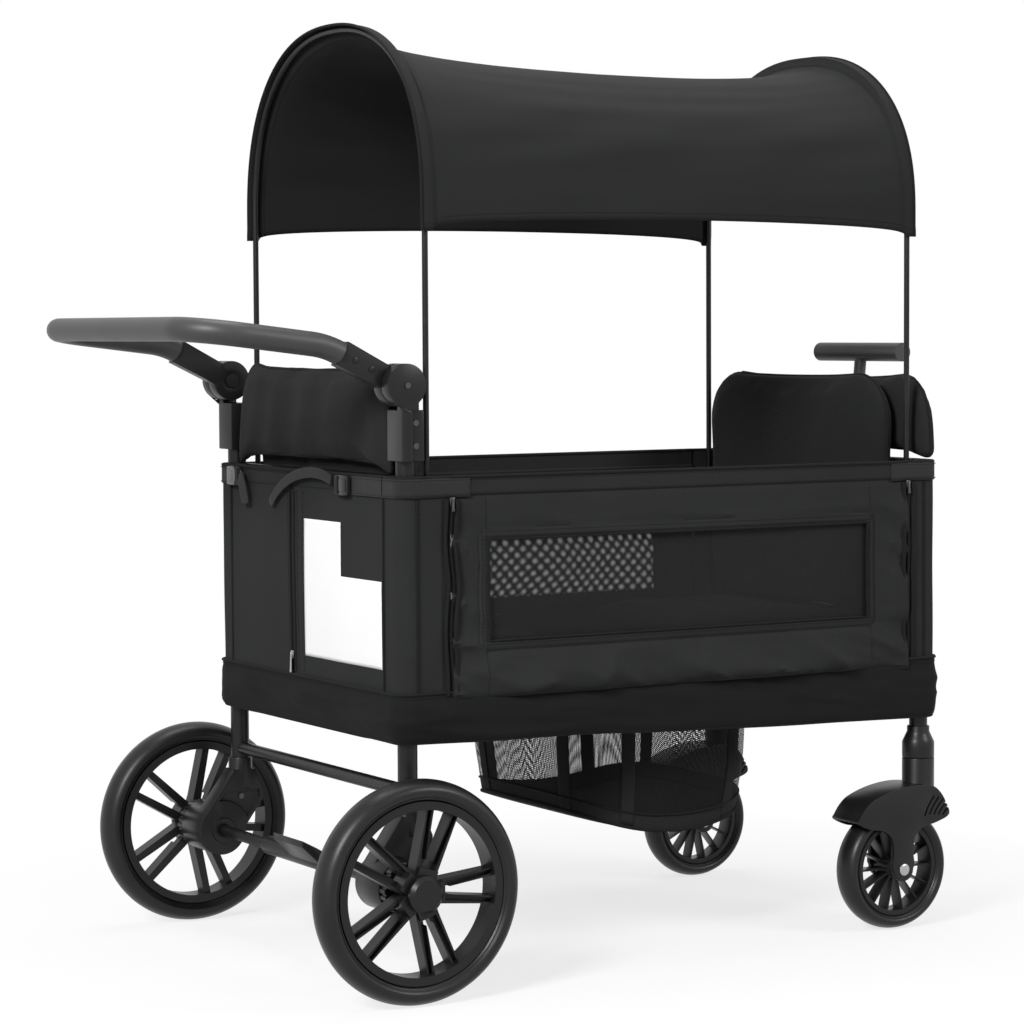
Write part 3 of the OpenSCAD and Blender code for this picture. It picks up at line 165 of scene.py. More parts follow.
class Value:
    """A shader socket that takes Python arithmetic."""

    def __init__(self, graph: "Graph", socket: Any) -> None:
        """Wraps a socket of a graph."""
        self.graph = graph
        self.socket = socket

    def _math(self, operation: str, first: Any, second: Any = None) -> "Value":
        """Adds one Math node on two values."""
        values = {0: first} if second is None else {0: first, 1: second}
        return self.graph.node("ShaderNodeMath", {"operation": operation}, values)

    def __add__(self, other: Any) -> "Value":
        """Sum."""
        return self._math("ADD", self, other)

    __radd__ = __add__

    def __sub__(self, other: Any) -> "Value":
        """Difference."""
        return self._math("SUBTRACT", self, other)

    def __rsub__(self, other: Any) -> "Value":
        """Difference from a number."""
        return self._math("SUBTRACT", other, self)

    def __mul__(self, other: Any) -> "Value":
        """Product."""
        return self._math("MULTIPLY", self, other)

    __rmul__ = __mul__

    def __truediv__(self, other: Any) -> "Value":
        """Quotient."""
        return self._math("DIVIDE", self, other)

    def __pow__(self, other: Any) -> "Value":
        """Power."""
        return self._math("POWER", self, other)

    def __gt__(self, other: Any) -> "Value":
        """One where the value is above the other, else zero."""
        return self._math("GREATER_THAN", self, other)

    def most(self, other: Any) -> "Value":
        """Larger of two values."""
        return self._math("MAXIMUM", self, other)

    def sine(self) -> "Value":
        """Sine."""
        return self._math("SINE", self)

    def absolute(self) -> "Value":
        """Absolute value."""
        return self._math("ABSOLUTE", self)

    def wrap(self) -> "Value":
        """Fraction above the whole number below."""
        return self._math("FRACT", self)


class Graph:
    """Node tree of one material or of the sky."""

    def __init__(self, name: str, sky: bool = False) -> None:
        """Starts an empty material, or an empty world.

        Args:
            name: Name of the material or world.
            sky: Whether it is the world.
        """
        self.owner = bpy.data.worlds.new(name) if sky else bpy.data.materials.new(name)
        self.owner.use_nodes = True
        self.tree = self.owner.node_tree
        self.tree.nodes.clear()

    def node(
        self,
        kind: str,
        settings: dict[str, Any] | None = None,
        values: dict[Any, Any] | None = None,
        output: Any = 0,
    ) -> Value:
        """Adds a node.

        Args:
            kind: Blender's name of the node type.
            settings: Properties, and the stops of a ramp under "stops".
            values: Numbers, colours or links by socket name or index.
            output: Name or index of the wanted output.

        Returns:
            The wanted output as a Value.
        """
        made = self.tree.nodes.new(kind)
        for key, setting in (settings or {}).items():
            if key == "stops":
                ramp = made.color_ramp.elements
                while len(ramp) < len(setting):
                    ramp.new(0.5)
                for element, (place, shade) in zip(ramp, setting):
                    element.position, element.color = place, shade
            else:
                setattr(made, key, setting)
        for key, value in (values or {}).items():
            if isinstance(value, Value):
                self.tree.links.new(value.socket, made.inputs[key])
            else:
                made.inputs[key].default_value = value
        return Value(self, made.outputs[output] if made.outputs else None)

    def coords(self, source: Coords) -> Value:
        """Pattern vector in metres."""
        return self.node("ShaderNodeTexCoord", output=source.value)

    def axes(self, vector: Value) -> tuple[Value, Value, Value]:
        """The three parts of a vector."""
        split = self.node("ShaderNodeSeparateXYZ", None, {0: vector})
        return tuple(Value(self, s) for s in split.socket.node.outputs)

    def noise(self, vector: Value, scale: float, detail: float = 3.0, rough: float = 0.55) -> Value:
        """Noise from 0 to 1 at a scale per metre."""
        values = {"Vector": vector, "Scale": scale, "Detail": detail, "Roughness": rough}
        return self.node("ShaderNodeTexNoise", {"noise_dimensions": "3D"}, values, "Fac")

    def blend(self, share: Any, first: Any, second: Any) -> Value:
        """Colour between two colours."""
        return self.node("ShaderNodeMix", {"data_type": "RGBA"}, {0: share, 6: first, 7: second}, 2)

    def ramp(self, share: Value, low: float, high: float) -> Value:
        """Share stretched so that low becomes 0 and high becomes 1."""
        return self.node("ShaderNodeMapRange", {"clamp": True}, {0: share, 1: low, 2: high, 3: 0.0, 4: 1.0})

    def tones(self, share: Value, level: float, low: float, high: float) -> Value:
        """Grey between two multiples of a level."""
        return self.blend(share, shade(level * low), shade(level * high))

    def bump(self, height: Value, strength: float, distance: float) -> Value:
        """Normal from a height."""
        values = {"Strength": strength, "Distance": distance, "Height": height}
        return self.node("ShaderNodeBump", None, values, "Normal")

    def finish(self, values: dict[str, Any]) -> bpy.types.Material:
        """Adds the shader and the output.

        Args:
            values: Sockets of the Principled shader.

        Returns:
            The finished material.
        """
        shader = self.node("ShaderNodeBsdfPrincipled", None, values)
        self.node("ShaderNodeOutputMaterial", None, {"Surface": shader})
        return self.owner


def shade(level: float, warm: float = 0.0) -> tuple[float, float, float, float]:
    """Grey of a linear level, a little warm or cool."""
    return (level * (1 + warm), level, level * (1 - warm), 1.0)


@dataclass(frozen=True)
class Cloth:
    """Plain woven cloth with a soft sheen."""

    level: float = 0.022
    pitch: float = 0.0011
    depth: float = 0.35
    patchy: float = 0.28
    sheen: float = 0.02
    source: Coords = Coords.UV

    def make(self, name: str) -> bpy.types.Material:
        """Weave of warp and weft, with slow and fine unevenness.

        Args:
            name: Name of the material.

        Returns:
            The material.
        """
        g = Graph(name)
        vector = g.coords(self.source)
        u, v, w = g.axes(vector)
        if self.source is Coords.OBJECT:
            u, v = u + w * 0.5, v + w
        turns = math.pi / self.pitch
        warp, weft = (u * turns).sine(), (v * turns).sine()
        over = (warp * weft) > 0.0
        thread = over * warp.absolute() + (1 - over) * weft.absolute()
        place = g.coords(Coords.OBJECT)
        slow = g.noise(place, 7.0, 4.0)
        fine = g.noise(place, 240.0, 2.0)
        tone = g.ramp(slow * 0.75 + fine * 0.25, 0.3, 0.7)
        low, high = (shade(self.level * (1 + s * self.patchy), -0.02) for s in (-1, 1))
        colour = g.blend(thread * 0.45 + tone * 0.55, low, high)
        relief = g.bump(thread * 0.7 + fine * 0.3, self.depth, 0.0005)
        return g.finish({"Base Color": colour, "Roughness": 0.78 + slow * 0.14, "Normal": relief,
                         "Sheen Weight": self.sheen, "Sheen Roughness": 0.45, "Specular IOR Level": 0.1})


@dataclass(frozen=True)
class Webbing:
    """Ribbed strap webbing, ribs along the strap's width."""

    level: float = 0.013
    pitch: float = 0.0016

    def make(self, name: str) -> bpy.types.Material:
        """Slanted ribs and a paler selvage.

        Args:
            name: Name of the material.

        Returns:
            The material.
        """
        g = Graph(name)
        u, v, _ = g.axes(g.coords(Coords.UV))
        rib = ((u + (v * 420.0).sine() * 0.0004) * (math.pi / self.pitch)).sine().absolute()
        fine = g.noise(g.coords(Coords.OBJECT), 300.0, 2.0)
        colour = g.tones(rib * 0.7 + fine * 0.3, self.level, 0.6, 1.6)
        return g.finish({"Base Color": colour, "Roughness": 0.7 + fine * 0.2,
                         "Normal": g.bump(rib, 0.5, 0.0006), "Sheen Weight": 0.05, "Specular IOR Level": 0.25})


@dataclass(frozen=True)
class Net:
    """Open knitted net: round holes in rows that step by half a pitch."""

    level: float = 0.012
    pitch: float = 0.0018
    hole: float = 0.25

    def make(self, name: str) -> bpy.types.Material:
        """Holes cut by alpha between knitted cords.

        Args:
            name: Name of the material.

        Returns:
            The material.
        """
        g = Graph(name)
        u, v, _ = g.axes(g.coords(Coords.UV))
        step = self.pitch * math.sqrt(2)
        da, db = ((u + v) / step).wrap() - 0.5, ((u - v) / step).wrap() - 0.5
        reach = (da * da + db * db) ** 0.5
        cord = reach > self.hole
        fine = g.noise(g.coords(Coords.OBJECT), 260.0, 2.0)
        colour = g.tones(fine, self.level, 0.6, 1.5)
        return g.finish({"Base Color": colour, "Roughness": 0.75 + fine * 0.15, "Alpha": cord,
                         "Normal": g.bump(reach, 0.4, 0.0008), "Specular IOR Level": 0.2})


@dataclass(frozen=True)
class Plastic:
    """Moulded plastic with a fine spark-eroded grain and light scuffs."""

    level: float = 0.009
    rough: float = 0.3
    grain: float = 0.16
    gloss: float = 0.25

    def make(self, name: str) -> bpy.types.Material:
        """Grain bump, slow tone and small rubbed marks.

        Args:
            name: Name of the material.

        Returns:
            The material.
        """
        g = Graph(name)
        place = g.coords(Coords.OBJECT)
        slow, fine = g.noise(place, 14.0, 4.0), g.noise(place, 1500.0, 2.0)
        scuff = g.ramp(g.noise(place, 90.0, 6.0, 0.75), 0.62, 0.8)
        colour = g.tones(slow * 0.7 + fine * 0.3, self.level, 0.8, 1.25)
        worn = g.blend(scuff * 0.5, colour, shade(self.level * 2.0))
        return g.finish({"Base Color": worn, "Roughness": self.rough + fine * 0.1 + scuff * 0.12,
                         "Normal": g.bump(fine, self.grain, 0.0002), "Specular IOR Level": self.gloss})


@dataclass(frozen=True)
class Rubber:
    """Tyre rubber, matt with dusty bloom on its flanks."""

    level: float = 0.008

    def make(self, name: str) -> bpy.types.Material:
        """Fine pores, slow bloom and faint smears.

        Args:
            name: Name of the material.

        Returns:
            The material.
        """
        g = Graph(name)
        place = g.coords(Coords.OBJECT)
        slow, fine = g.noise(place, 18.0, 5.0, 0.6), g.noise(place, 900.0, 2.0)
        bloom = g.ramp(slow, 0.35, 0.72)
        colour = g.blend(bloom, shade(self.level * 0.72), shade(self.level * 1.35, 0.02))
        return g.finish({"Base Color": colour, "Roughness": 0.29 + bloom * 0.12 + fine * 0.06,
                         "Normal": g.bump(fine * 0.6 + slow * 0.4, 0.12, 0.0004), "Specular IOR Level": 0.3})


@dataclass(frozen=True)
class Foam:
    """Closed-cell foam grip with a dull sheen."""

    level: float = 0.035

    def make(self, name: str) -> bpy.types.Material:
        """Small cells under a rubbed skin.

        Args:
            name: Name of the material.

        Returns:
            The material.
        """
        g = Graph(name)
        place = g.coords(Coords.OBJECT)
        cells = g.node("ShaderNodeTexVoronoi", {"feature": "F1"}, {"Vector": place, "Scale": 900.0}, "Distance")
        slow = g.noise(place, 30.0, 3.0)
        colour = g.tones(slow * 0.6 + cells * 0.4, self.level, 0.75, 1.3)
        return g.finish({"Base Color": colour, "Roughness": 0.40 + slow * 0.12,
                         "Normal": g.bump(cells, 0.14, 0.0003), "Sheen Weight": 0.04, "Specular IOR Level": 0.4})


@dataclass(frozen=True)
class PowderCoat:
    """Satin powder coat on tube, with orange peel."""

    level: float = 0.007
    rough: float = 0.33

    def make(self, name: str) -> bpy.types.Material:
        """Low ripple and small dull rubs.

        Args:
            name: Name of the material.

        Returns:
            The material.
        """
        g = Graph(name)
        place = g.coords(Coords.OBJECT)
        peel, slow = g.noise(place, 420.0, 2.0), g.noise(place, 25.0, 4.0, 0.65)
        rub = g.ramp(slow, 0.55, 0.8)
        colour = g.tones(rub * 0.6 + peel * 0.2, self.level, 0.85, 1.7)
        return g.finish({"Base Color": colour, "Roughness": self.rough + rub * 0.14,
                         "Normal": g.bump(peel, 0.1, 0.0003), "Specular IOR Level": 0.26})


@dataclass(frozen=True)
class Plated:
    """Plated steel with fine turned lines."""

    level: float = 0.42

    def make(self, name: str) -> bpy.types.Material:
        """Streaks of brushing and slight tarnish.

        Args:
            name: Name of the material.

        Returns:
            The material.
        """
        g = Graph(name)
        place = g.coords(Coords.OBJECT)
        lines = g.noise(place, 700.0, 3.0)
        slow = g.noise(place, 120.0, 3.0)
        colour = g.tones(slow, self.level, 0.8, 1.1)
        return g.finish({"Base Color": colour, "Metallic": 1.0, "Roughness": 0.24 + lines * 0.16,
                         "Normal": g.bump(lines, 0.06, 0.0002)})


@dataclass(frozen=True)
class Vinyl:
    """Smooth white vinyl over cloth."""

    level: float = 0.93

    def make(self, name: str) -> bpy.types.Material:
        """Faint grain and a slow unevenness of tone.

        Args:
            name: Name of the material.

        Returns:
            The material.
        """
        g = Graph(name)
        place = g.coords(Coords.OBJECT)
        slow, fine = g.noise(place, 12.0, 3.0), g.noise(place, 800.0, 2.0)
        colour = g.tones(slow * 0.6 + fine * 0.4, self.level, 0.97, 1.05)
        return g.finish({"Base Color": colour, "Roughness": 0.42 + fine * 0.1,
                         "Normal": g.bump(fine * 0.4 + slow * 0.6, 0.1, 0.0006)})


FINISHES: dict[str, Any] = {
    "tub_cloth": Cloth(),
    # The skirt is the tub cloth at a lower level: painted shade below the walls.
    "skirt_cloth_painted_shade": Cloth(level=0.010),
    "canopy_cloth": Cloth(level=0.0185, pitch=0.0009, patchy=0.16),
    "pad_cloth": Cloth(level=0.017, pitch=0.0014, source=Coords.OBJECT),
    "piping_cloth": Cloth(level=0.012, pitch=0.0012, source=Coords.OBJECT),
    "strap": Webbing(),
    "net": Net(),
    "well_net": Net(hole=0.35),
    "moulded": Plastic(),
    "gloss_plastic": Plastic(level=0.014, rough=0.3, grain=0.08),
    # Pale grey for the left buckle's shell: a painted highlight.
    "highlight_grey_plastic": Plastic(level=0.16, rough=0.4),
    "rubber": Rubber(),
    "foam": Foam(),
    "tube": PowderCoat(),
    "plated": Plated(),
    "dark_zinc": Plated(level=0.08),
    "vinyl": Vinyl(),
}

SLOT_FINISH: dict[str, str] = {
    "black_tube": "tube", "black_plastic": "moulded", "tyre_rubber": "rubber", "foam_grip": "foam",
    "tub_fabric": "tub_cloth", "canopy_fabric": "canopy_cloth", "cushion_fabric": "pad_cloth",
    "net": "net", "webbing": "strap", "white_vinyl": "vinyl", "steel": "plated",
}


def stops(share: float, table: Sequence[tuple[float, float]]) -> float:
    """Straight lines between the points of a table.

    Args:
        share: Place along the table's first column.
        table: Pairs of place and value, in order.

    Returns:
        The value at that place.
    """
    for (a, low), (b, high) in zip(table, table[1:]):
        if share <= b:
            return low + (high - low) * (share - a) / (b - a)
    return table[-1][1]


def bell(distance: float, width: float) -> float:
    """Smooth hump of height 1 at distance 0."""
    return math.exp(-((distance / width) ** 2))


def clip(share: float) -> float:
    """Share held between 0 and 1."""
    return min(max(share, 0.0), 1.0)


def spread(low: float, high: float, count: int) -> list[float]:
    """Even steps from low to high, both included."""
    return [low + (high - low) * i / count for i in range(count + 1)]


def shoulder(value: float, power: float) -> float:
    """Power of a value that keeps its sign, for full-shouldered outlines."""
    return math.copysign(abs(value) ** power, value)


def ripple(place: Sequence[float], seed: float) -> float:
    """Smooth seeded unevenness between about -1 and 1."""
    return noise.noise(Vector(place) + Vector((seed, seed * 1.7, -seed)))


def crease(place: Sequence[float], seed: float) -> float:
    """Narrow seeded ridges between 0 and 1, as in crumpled cloth."""
    return (1 - abs(ripple(place, seed))) ** 4


def top_band(z: float) -> float:
    """Outward step of the band along the tub's top edge, with the groove of its seam."""
    return 0.0008 * (z > PLACES.band) - 0.0012 * bell(z - PLACES.band, 0.0016)


def stand(name: str, data: Any) -> Piece:
    """Object of some data, linked to the scene.

    Args:
        name: Name of the object.
        data: Mesh, curve, lamp or camera.

    Returns:
        The object.
    """
    made = bpy.data.objects.new(name, data)
    bpy.context.scene.collection.objects.link(made)
    return made


def meshed(name: str, bm: Mesh) -> bpy.types.Mesh:
    """Mesh data of a shape, which is freed.

    Args:
        name: Name of the mesh.
        bm: The shape.

    Returns:
        The mesh.
    """
    mesh = bpy.data.meshes.new(name)
    bm.to_mesh(mesh)
    bm.free()
    return mesh


def settled(holder: Piece) -> bpy.types.Mesh:
    """Mesh of an object after its modifiers."""
    return bpy.data.meshes.new_from_object(holder.evaluated_get(bpy.context.evaluated_depsgraph_get()))


class Shaper:
    """Meshes from bmesh operators."""

    @staticmethod
    def sheet(across: int, along: int, surface: Surface, size: tuple[float, float]) -> Mesh:
        """Grid laid on a surface, with UVs in metres.

        Args:
            across: Steps of the first share.
            along: Steps of the second share.
            surface: Place for two shares from 0 to 1.
            size: Flat width and length for the UV map.

        Returns:
            The sheet.
        """
        bm = bmesh.new()
        bmesh.ops.create_grid(bm, x_segments=across, y_segments=along, size=0.5)
        shares = {v: (v.co.x + 0.5, v.co.y + 0.5) for v in bm.verts}
        layer = bm.loops.layers.uv.new("UVMap")
        for face in bm.faces:
            for loop in face.loops:
                u, v = shares[loop.vert]
                loop[layer].uv = (u * size[0], v * size[1])
        for vert, (u, v) in shares.items():
            vert.co = surface(u, v)
        bm.normal_update()
        return bm

    @staticmethod
    def lathe(profile: Sequence[tuple[float, float]], steps: int, centre: Vector) -> Mesh:
        """Closed profile of radius and place along Y, spun round the Y axis through a centre.

        Args:
            profile: Pairs of radius and offset along Y.
            steps: Number of steps of the turn.
            centre: Middle of the turned piece.

        Returns:
            The turned shape.
        """
        bm = bmesh.new()
        ring = [bm.verts.new((centre.x + r, centre.y + y, centre.z)) for r, y in profile]
        edges = [bm.edges.new(p) for p in zip(ring, ring[1:] + ring[:1])]
        bmesh.ops.spin(bm, geom=ring + edges, cent=centre, axis=(0, 1, 0), angle=2 * math.pi,
                       steps=steps, use_merge=True)
        bmesh.ops.remove_doubles(bm, verts=bm.verts, dist=1e-6)
        bmesh.ops.recalc_face_normals(bm, faces=bm.faces)
        return bm

    @staticmethod
    def cube(bm: Mesh, centre: Vector, size: Sequence[float]) -> None:
        """Adds a box to a mesh."""
        bmesh.ops.create_cube(bm, size=1.0, matrix=Matrix.Translation(centre) @ Matrix.Diagonal((*size, 1.0)))

    @staticmethod
    def bevel(bm: Mesh, edges: list[Any], radius: float, segments: int = 2, **more: bool) -> None:
        """Rounds some edges of a mesh."""
        bmesh.ops.bevel(bm, geom=edges, offset=radius, affect="EDGES", segments=segments, profile=0.5,
                        material=-1, **more)

    @staticmethod
    def plate(outline: Sequence[Vector], thickness: Vector, radius: float) -> Mesh:
        """Flat outline drawn out by a vector, with rounded edges.

        Args:
            outline: Corners in order.
            thickness: Way that it is drawn out.
            radius: Radius of its edges.

        Returns:
            The plate.
        """
        bm = bmesh.new()
        face = bm.faces.new([bm.verts.new(p) for p in outline])
        made = bmesh.ops.extrude_face_region(bm, geom=[face])
        moved = [g for g in made["geom"] if isinstance(g, bmesh.types.BMVert)]
        bmesh.ops.translate(bm, vec=thickness, verts=moved)
        bmesh.ops.recalc_face_normals(bm, faces=bm.faces)
        Shaper.bevel(bm, bm.edges[:], radius)
        return bm

    @staticmethod
    def tube(line: Sequence[Vector], radius: float, closed: bool = False, sides: int = 2) -> Mesh:
        """Round tube along a line.

        Args:
            line: Points of the line.
            radius: Radius of the tube.
            closed: Whether the line comes back to its start.
            sides: Resolution of the round section.

        Returns:
            The tube, its ends closed.
        """
        data = bpy.data.curves.new("line", "CURVE")
        data.dimensions, data.bevel_depth, data.bevel_resolution = "3D", radius, sides
        data.use_fill_caps = True
        spline = data.splines.new("POLY")
        spline.points.add(len(line) - 1)
        for point, place in zip(spline.points, line):
            point.co = (*place, 1.0)
        spline.use_cyclic_u = closed
        holder = stand("line", data)
        bpy.context.view_layer.update()
        mesh = settled(holder)
        bm = bmesh.new()
        bm.from_mesh(mesh)
        bpy.data.objects.remove(holder)
        bpy.data.curves.remove(data)
        bpy.data.meshes.remove(mesh)
        bmesh.ops.remove_doubles(bm, verts=bm.verts, dist=1e-6)
        return bm

    @staticmethod
    def strap(line: Sequence[Vector], sides: Sequence[Vector], width: float) -> Mesh:
        """Flat strap along a line, its width along the given directions, with UVs in metres.

        Args:
            line: Middle of the strap.
            sides: Direction of its width at each point.
            width: Its width.

        Returns:
            The strap.
        """
        run = [0.0]
        for a, b in zip(line, line[1:]):
            run.append(run[-1] + (b - a).length)
        count = len(line) - 1

        def place(u: float, v: float) -> Vector:
            """Point of the strap at a share of its length and width."""
            i = round(u * count)
            return line[i] + sides[i] * (width * (v - 0.5))

        return Shaper.sheet(count, 4, place, (run[-1], width))

    @staticmethod
    def stitches(lines: Iterable[Sequence[Vector]], pitch: float = 0.0055, length: float = 0.0034,
                 radius: float = 0.00055) -> Mesh:
        """Small raised stitches along lines.

        Args:
            lines: Lines to sew along.
            pitch: Distance between stitches.
            length: Length of a stitch.
            radius: Half its thickness.

        Returns:
            The stitches.
        """
        bm = bmesh.new()
        for line in lines:
            left = pitch / 2
            for a, b in zip(line, line[1:]):
                step = b - a
                size = step.length
                while left < size and size > 1e-9:
                    turn = step.to_track_quat("X", "Z").to_matrix().to_4x4()
                    spot = Matrix.Translation(a + step * (left / size)) @ turn
                    bmesh.ops.create_icosphere(bm, subdivisions=1, radius=1.0,
                                               matrix=spot @ Matrix.Diagonal((length / 2, radius, radius, 1.0)))
                    left += pitch
                left -= size
        return bm

    @staticmethod
    def outward(bm: Mesh, middle: Vector) -> None:
        """Turns each loose sheet of a mesh to face away from a point.

        Args:
            bm: The mesh.
            middle: The point.
        """
        bm.normal_update()
        left = set(bm.faces)
        while left:
            island, edge = set(), [left.pop()]
            while edge:
                face = edge.pop()
                island.add(face)
                near = {f for e in face.edges for f in e.link_faces} & left
                left -= near
                edge.extend(near)
            if sum(f.normal.dot(f.calc_center_median() - middle) * f.calc_area() for f in island) < 0:
                bmesh.ops.reverse_faces(bm, faces=list(island))

    @staticmethod
    def join(parts: Iterable[Mesh]) -> Mesh:
        """One mesh of several, which are freed.

        Args:
            parts: The meshes.

        Returns:
            The whole.
        """
        whole = bmesh.new()
        for part in parts:
            mesh = meshed("part", part)
            whole.from_mesh(mesh)
            bpy.data.meshes.remove(mesh)
        return whole


class Workshop:
    """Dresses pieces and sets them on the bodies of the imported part."""

    def __init__(self, frame: dict[str, Any]) -> None:
        """Makes every finish once.

        Args:
            frame: The loaded frame.
        """
        self.nodes: dict[str, Piece] = frame["nodes"]
        self.slots = {s["node"]: s["material_slot"] for s in frame["record"]["subparts"]}
        self.bodies = {n: b for b, ns in frame["record"]["behaviour"]["bodies"].items() for n in ns}
        self.materials = {name: finish.make(name) for name, finish in FINISHES.items()}

    def place(self, name: str, bm: Mesh, finish: str, slot: str, body: str,
              replaces: Sequence[str] = (), wall: float = 0.0, smooth: int = 0, edge: float = 40.0,
              turn: bool = True) -> Piece:
        """Makes an object of a mesh and sets it on its body.

        Args:
            name: Name of the piece.
            bm: Its mesh, which is freed.
            finish: Name of its finish.
            slot: Material slot of the record; not used.
            body: Body that it moves with.
            replaces: Nodes of the part that it stands for.
            wall: Thickness of a sheet, inwards.
            smooth: Levels of subdivision.
            edge: Angle from which an edge stays sharp, in degrees.
            turn: Whether a sheet is turned to face away from the middle of the wagon.

        Returns:
            The placed object.
        """
        if wall and turn:
            Shaper.outward(bm, Vector((PLACES.middle, 0.0, 0.6)))
        for face in bm.faces:
            face.smooth = True
        for rim in bm.edges:
            rim.smooth = len(rim.link_faces) != 2 or rim.calc_face_angle(0.0) < math.radians(edge)
        mesh = meshed(name, bm)
        mesh.materials.append(self.materials[finish])
        made = stand(name, mesh)
        if wall:
            solid = made.modifiers.new("wall", "SOLIDIFY")
            solid.thickness, solid.offset = wall, -1.0
        if smooth:
            soft = made.modifiers.new("soft", "SUBSURF")
            soft.levels = soft.render_levels = smooth
        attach(made, body)
        if replaces:
            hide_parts(*replaces)
        LOG.info("%s: %d faces on %s", name, len(mesh.polygons), body)
        return made

    def trim(self, name: str, bm: Mesh, body: str, slot: str = "tub_fabric") -> Piece:
        """Places piping or stitches."""
        return self.place(name, bm, "piping_cloth", slot, body)

    def dress(self) -> None:
        """Gives every node of the part the finish of its material slot."""
        for name, node in self.nodes.items():
            node.data.materials.clear()
            finish = "dark_zinc" if name == "frame_screws" else SLOT_FINISH[self.slots[name]]
            node.data.materials.append(self.materials[finish])

    def soften(self, node: str, radius: float, inner: bool = True) -> Piece:
        """Stands a copy with rounded edges in for a rigid node.

        Args:
            node: Name of the node.
            radius: Radius of the rounding.
            inner: Whether inside corners are rounded too.

        Returns:
            The rounded copy.
        """
        bm = bmesh.new()
        bm.from_mesh(self.nodes[node].data)
        bmesh.ops.remove_doubles(bm, verts=bm.verts, dist=2e-6)
        bmesh.ops.dissolve_limit(bm, angle_limit=math.radians(0.6), verts=bm.verts, edges=bm.edges)
        skin = BVHTree.FromBMesh(bm)
        corners = [e for e in bm.edges if len(e.link_faces) == 2 and e.calc_face_angle(0.0) > math.radians(32)
                   and (inner or e.is_convex)]
        Shaper.bevel(bm, corners, radius, clamp_overlap=False, loop_slide=True)
        for vert in bm.verts:
            near, _, _, away = skin.find_nearest(vert.co)
            if away > radius / 2:
                vert.co = near
        bmesh.ops.dissolve_degenerate(bm, dist=1e-6, edges=bm.edges)
        bmesh.ops.triangulate(bm, faces=[f for f in bm.faces if len(f.verts) > 4])
        slot = self.slots[node]
        return self.place(node + ".round", bm, SLOT_FINISH[slot], slot, self.bodies[node], (node,), edge=30.0)


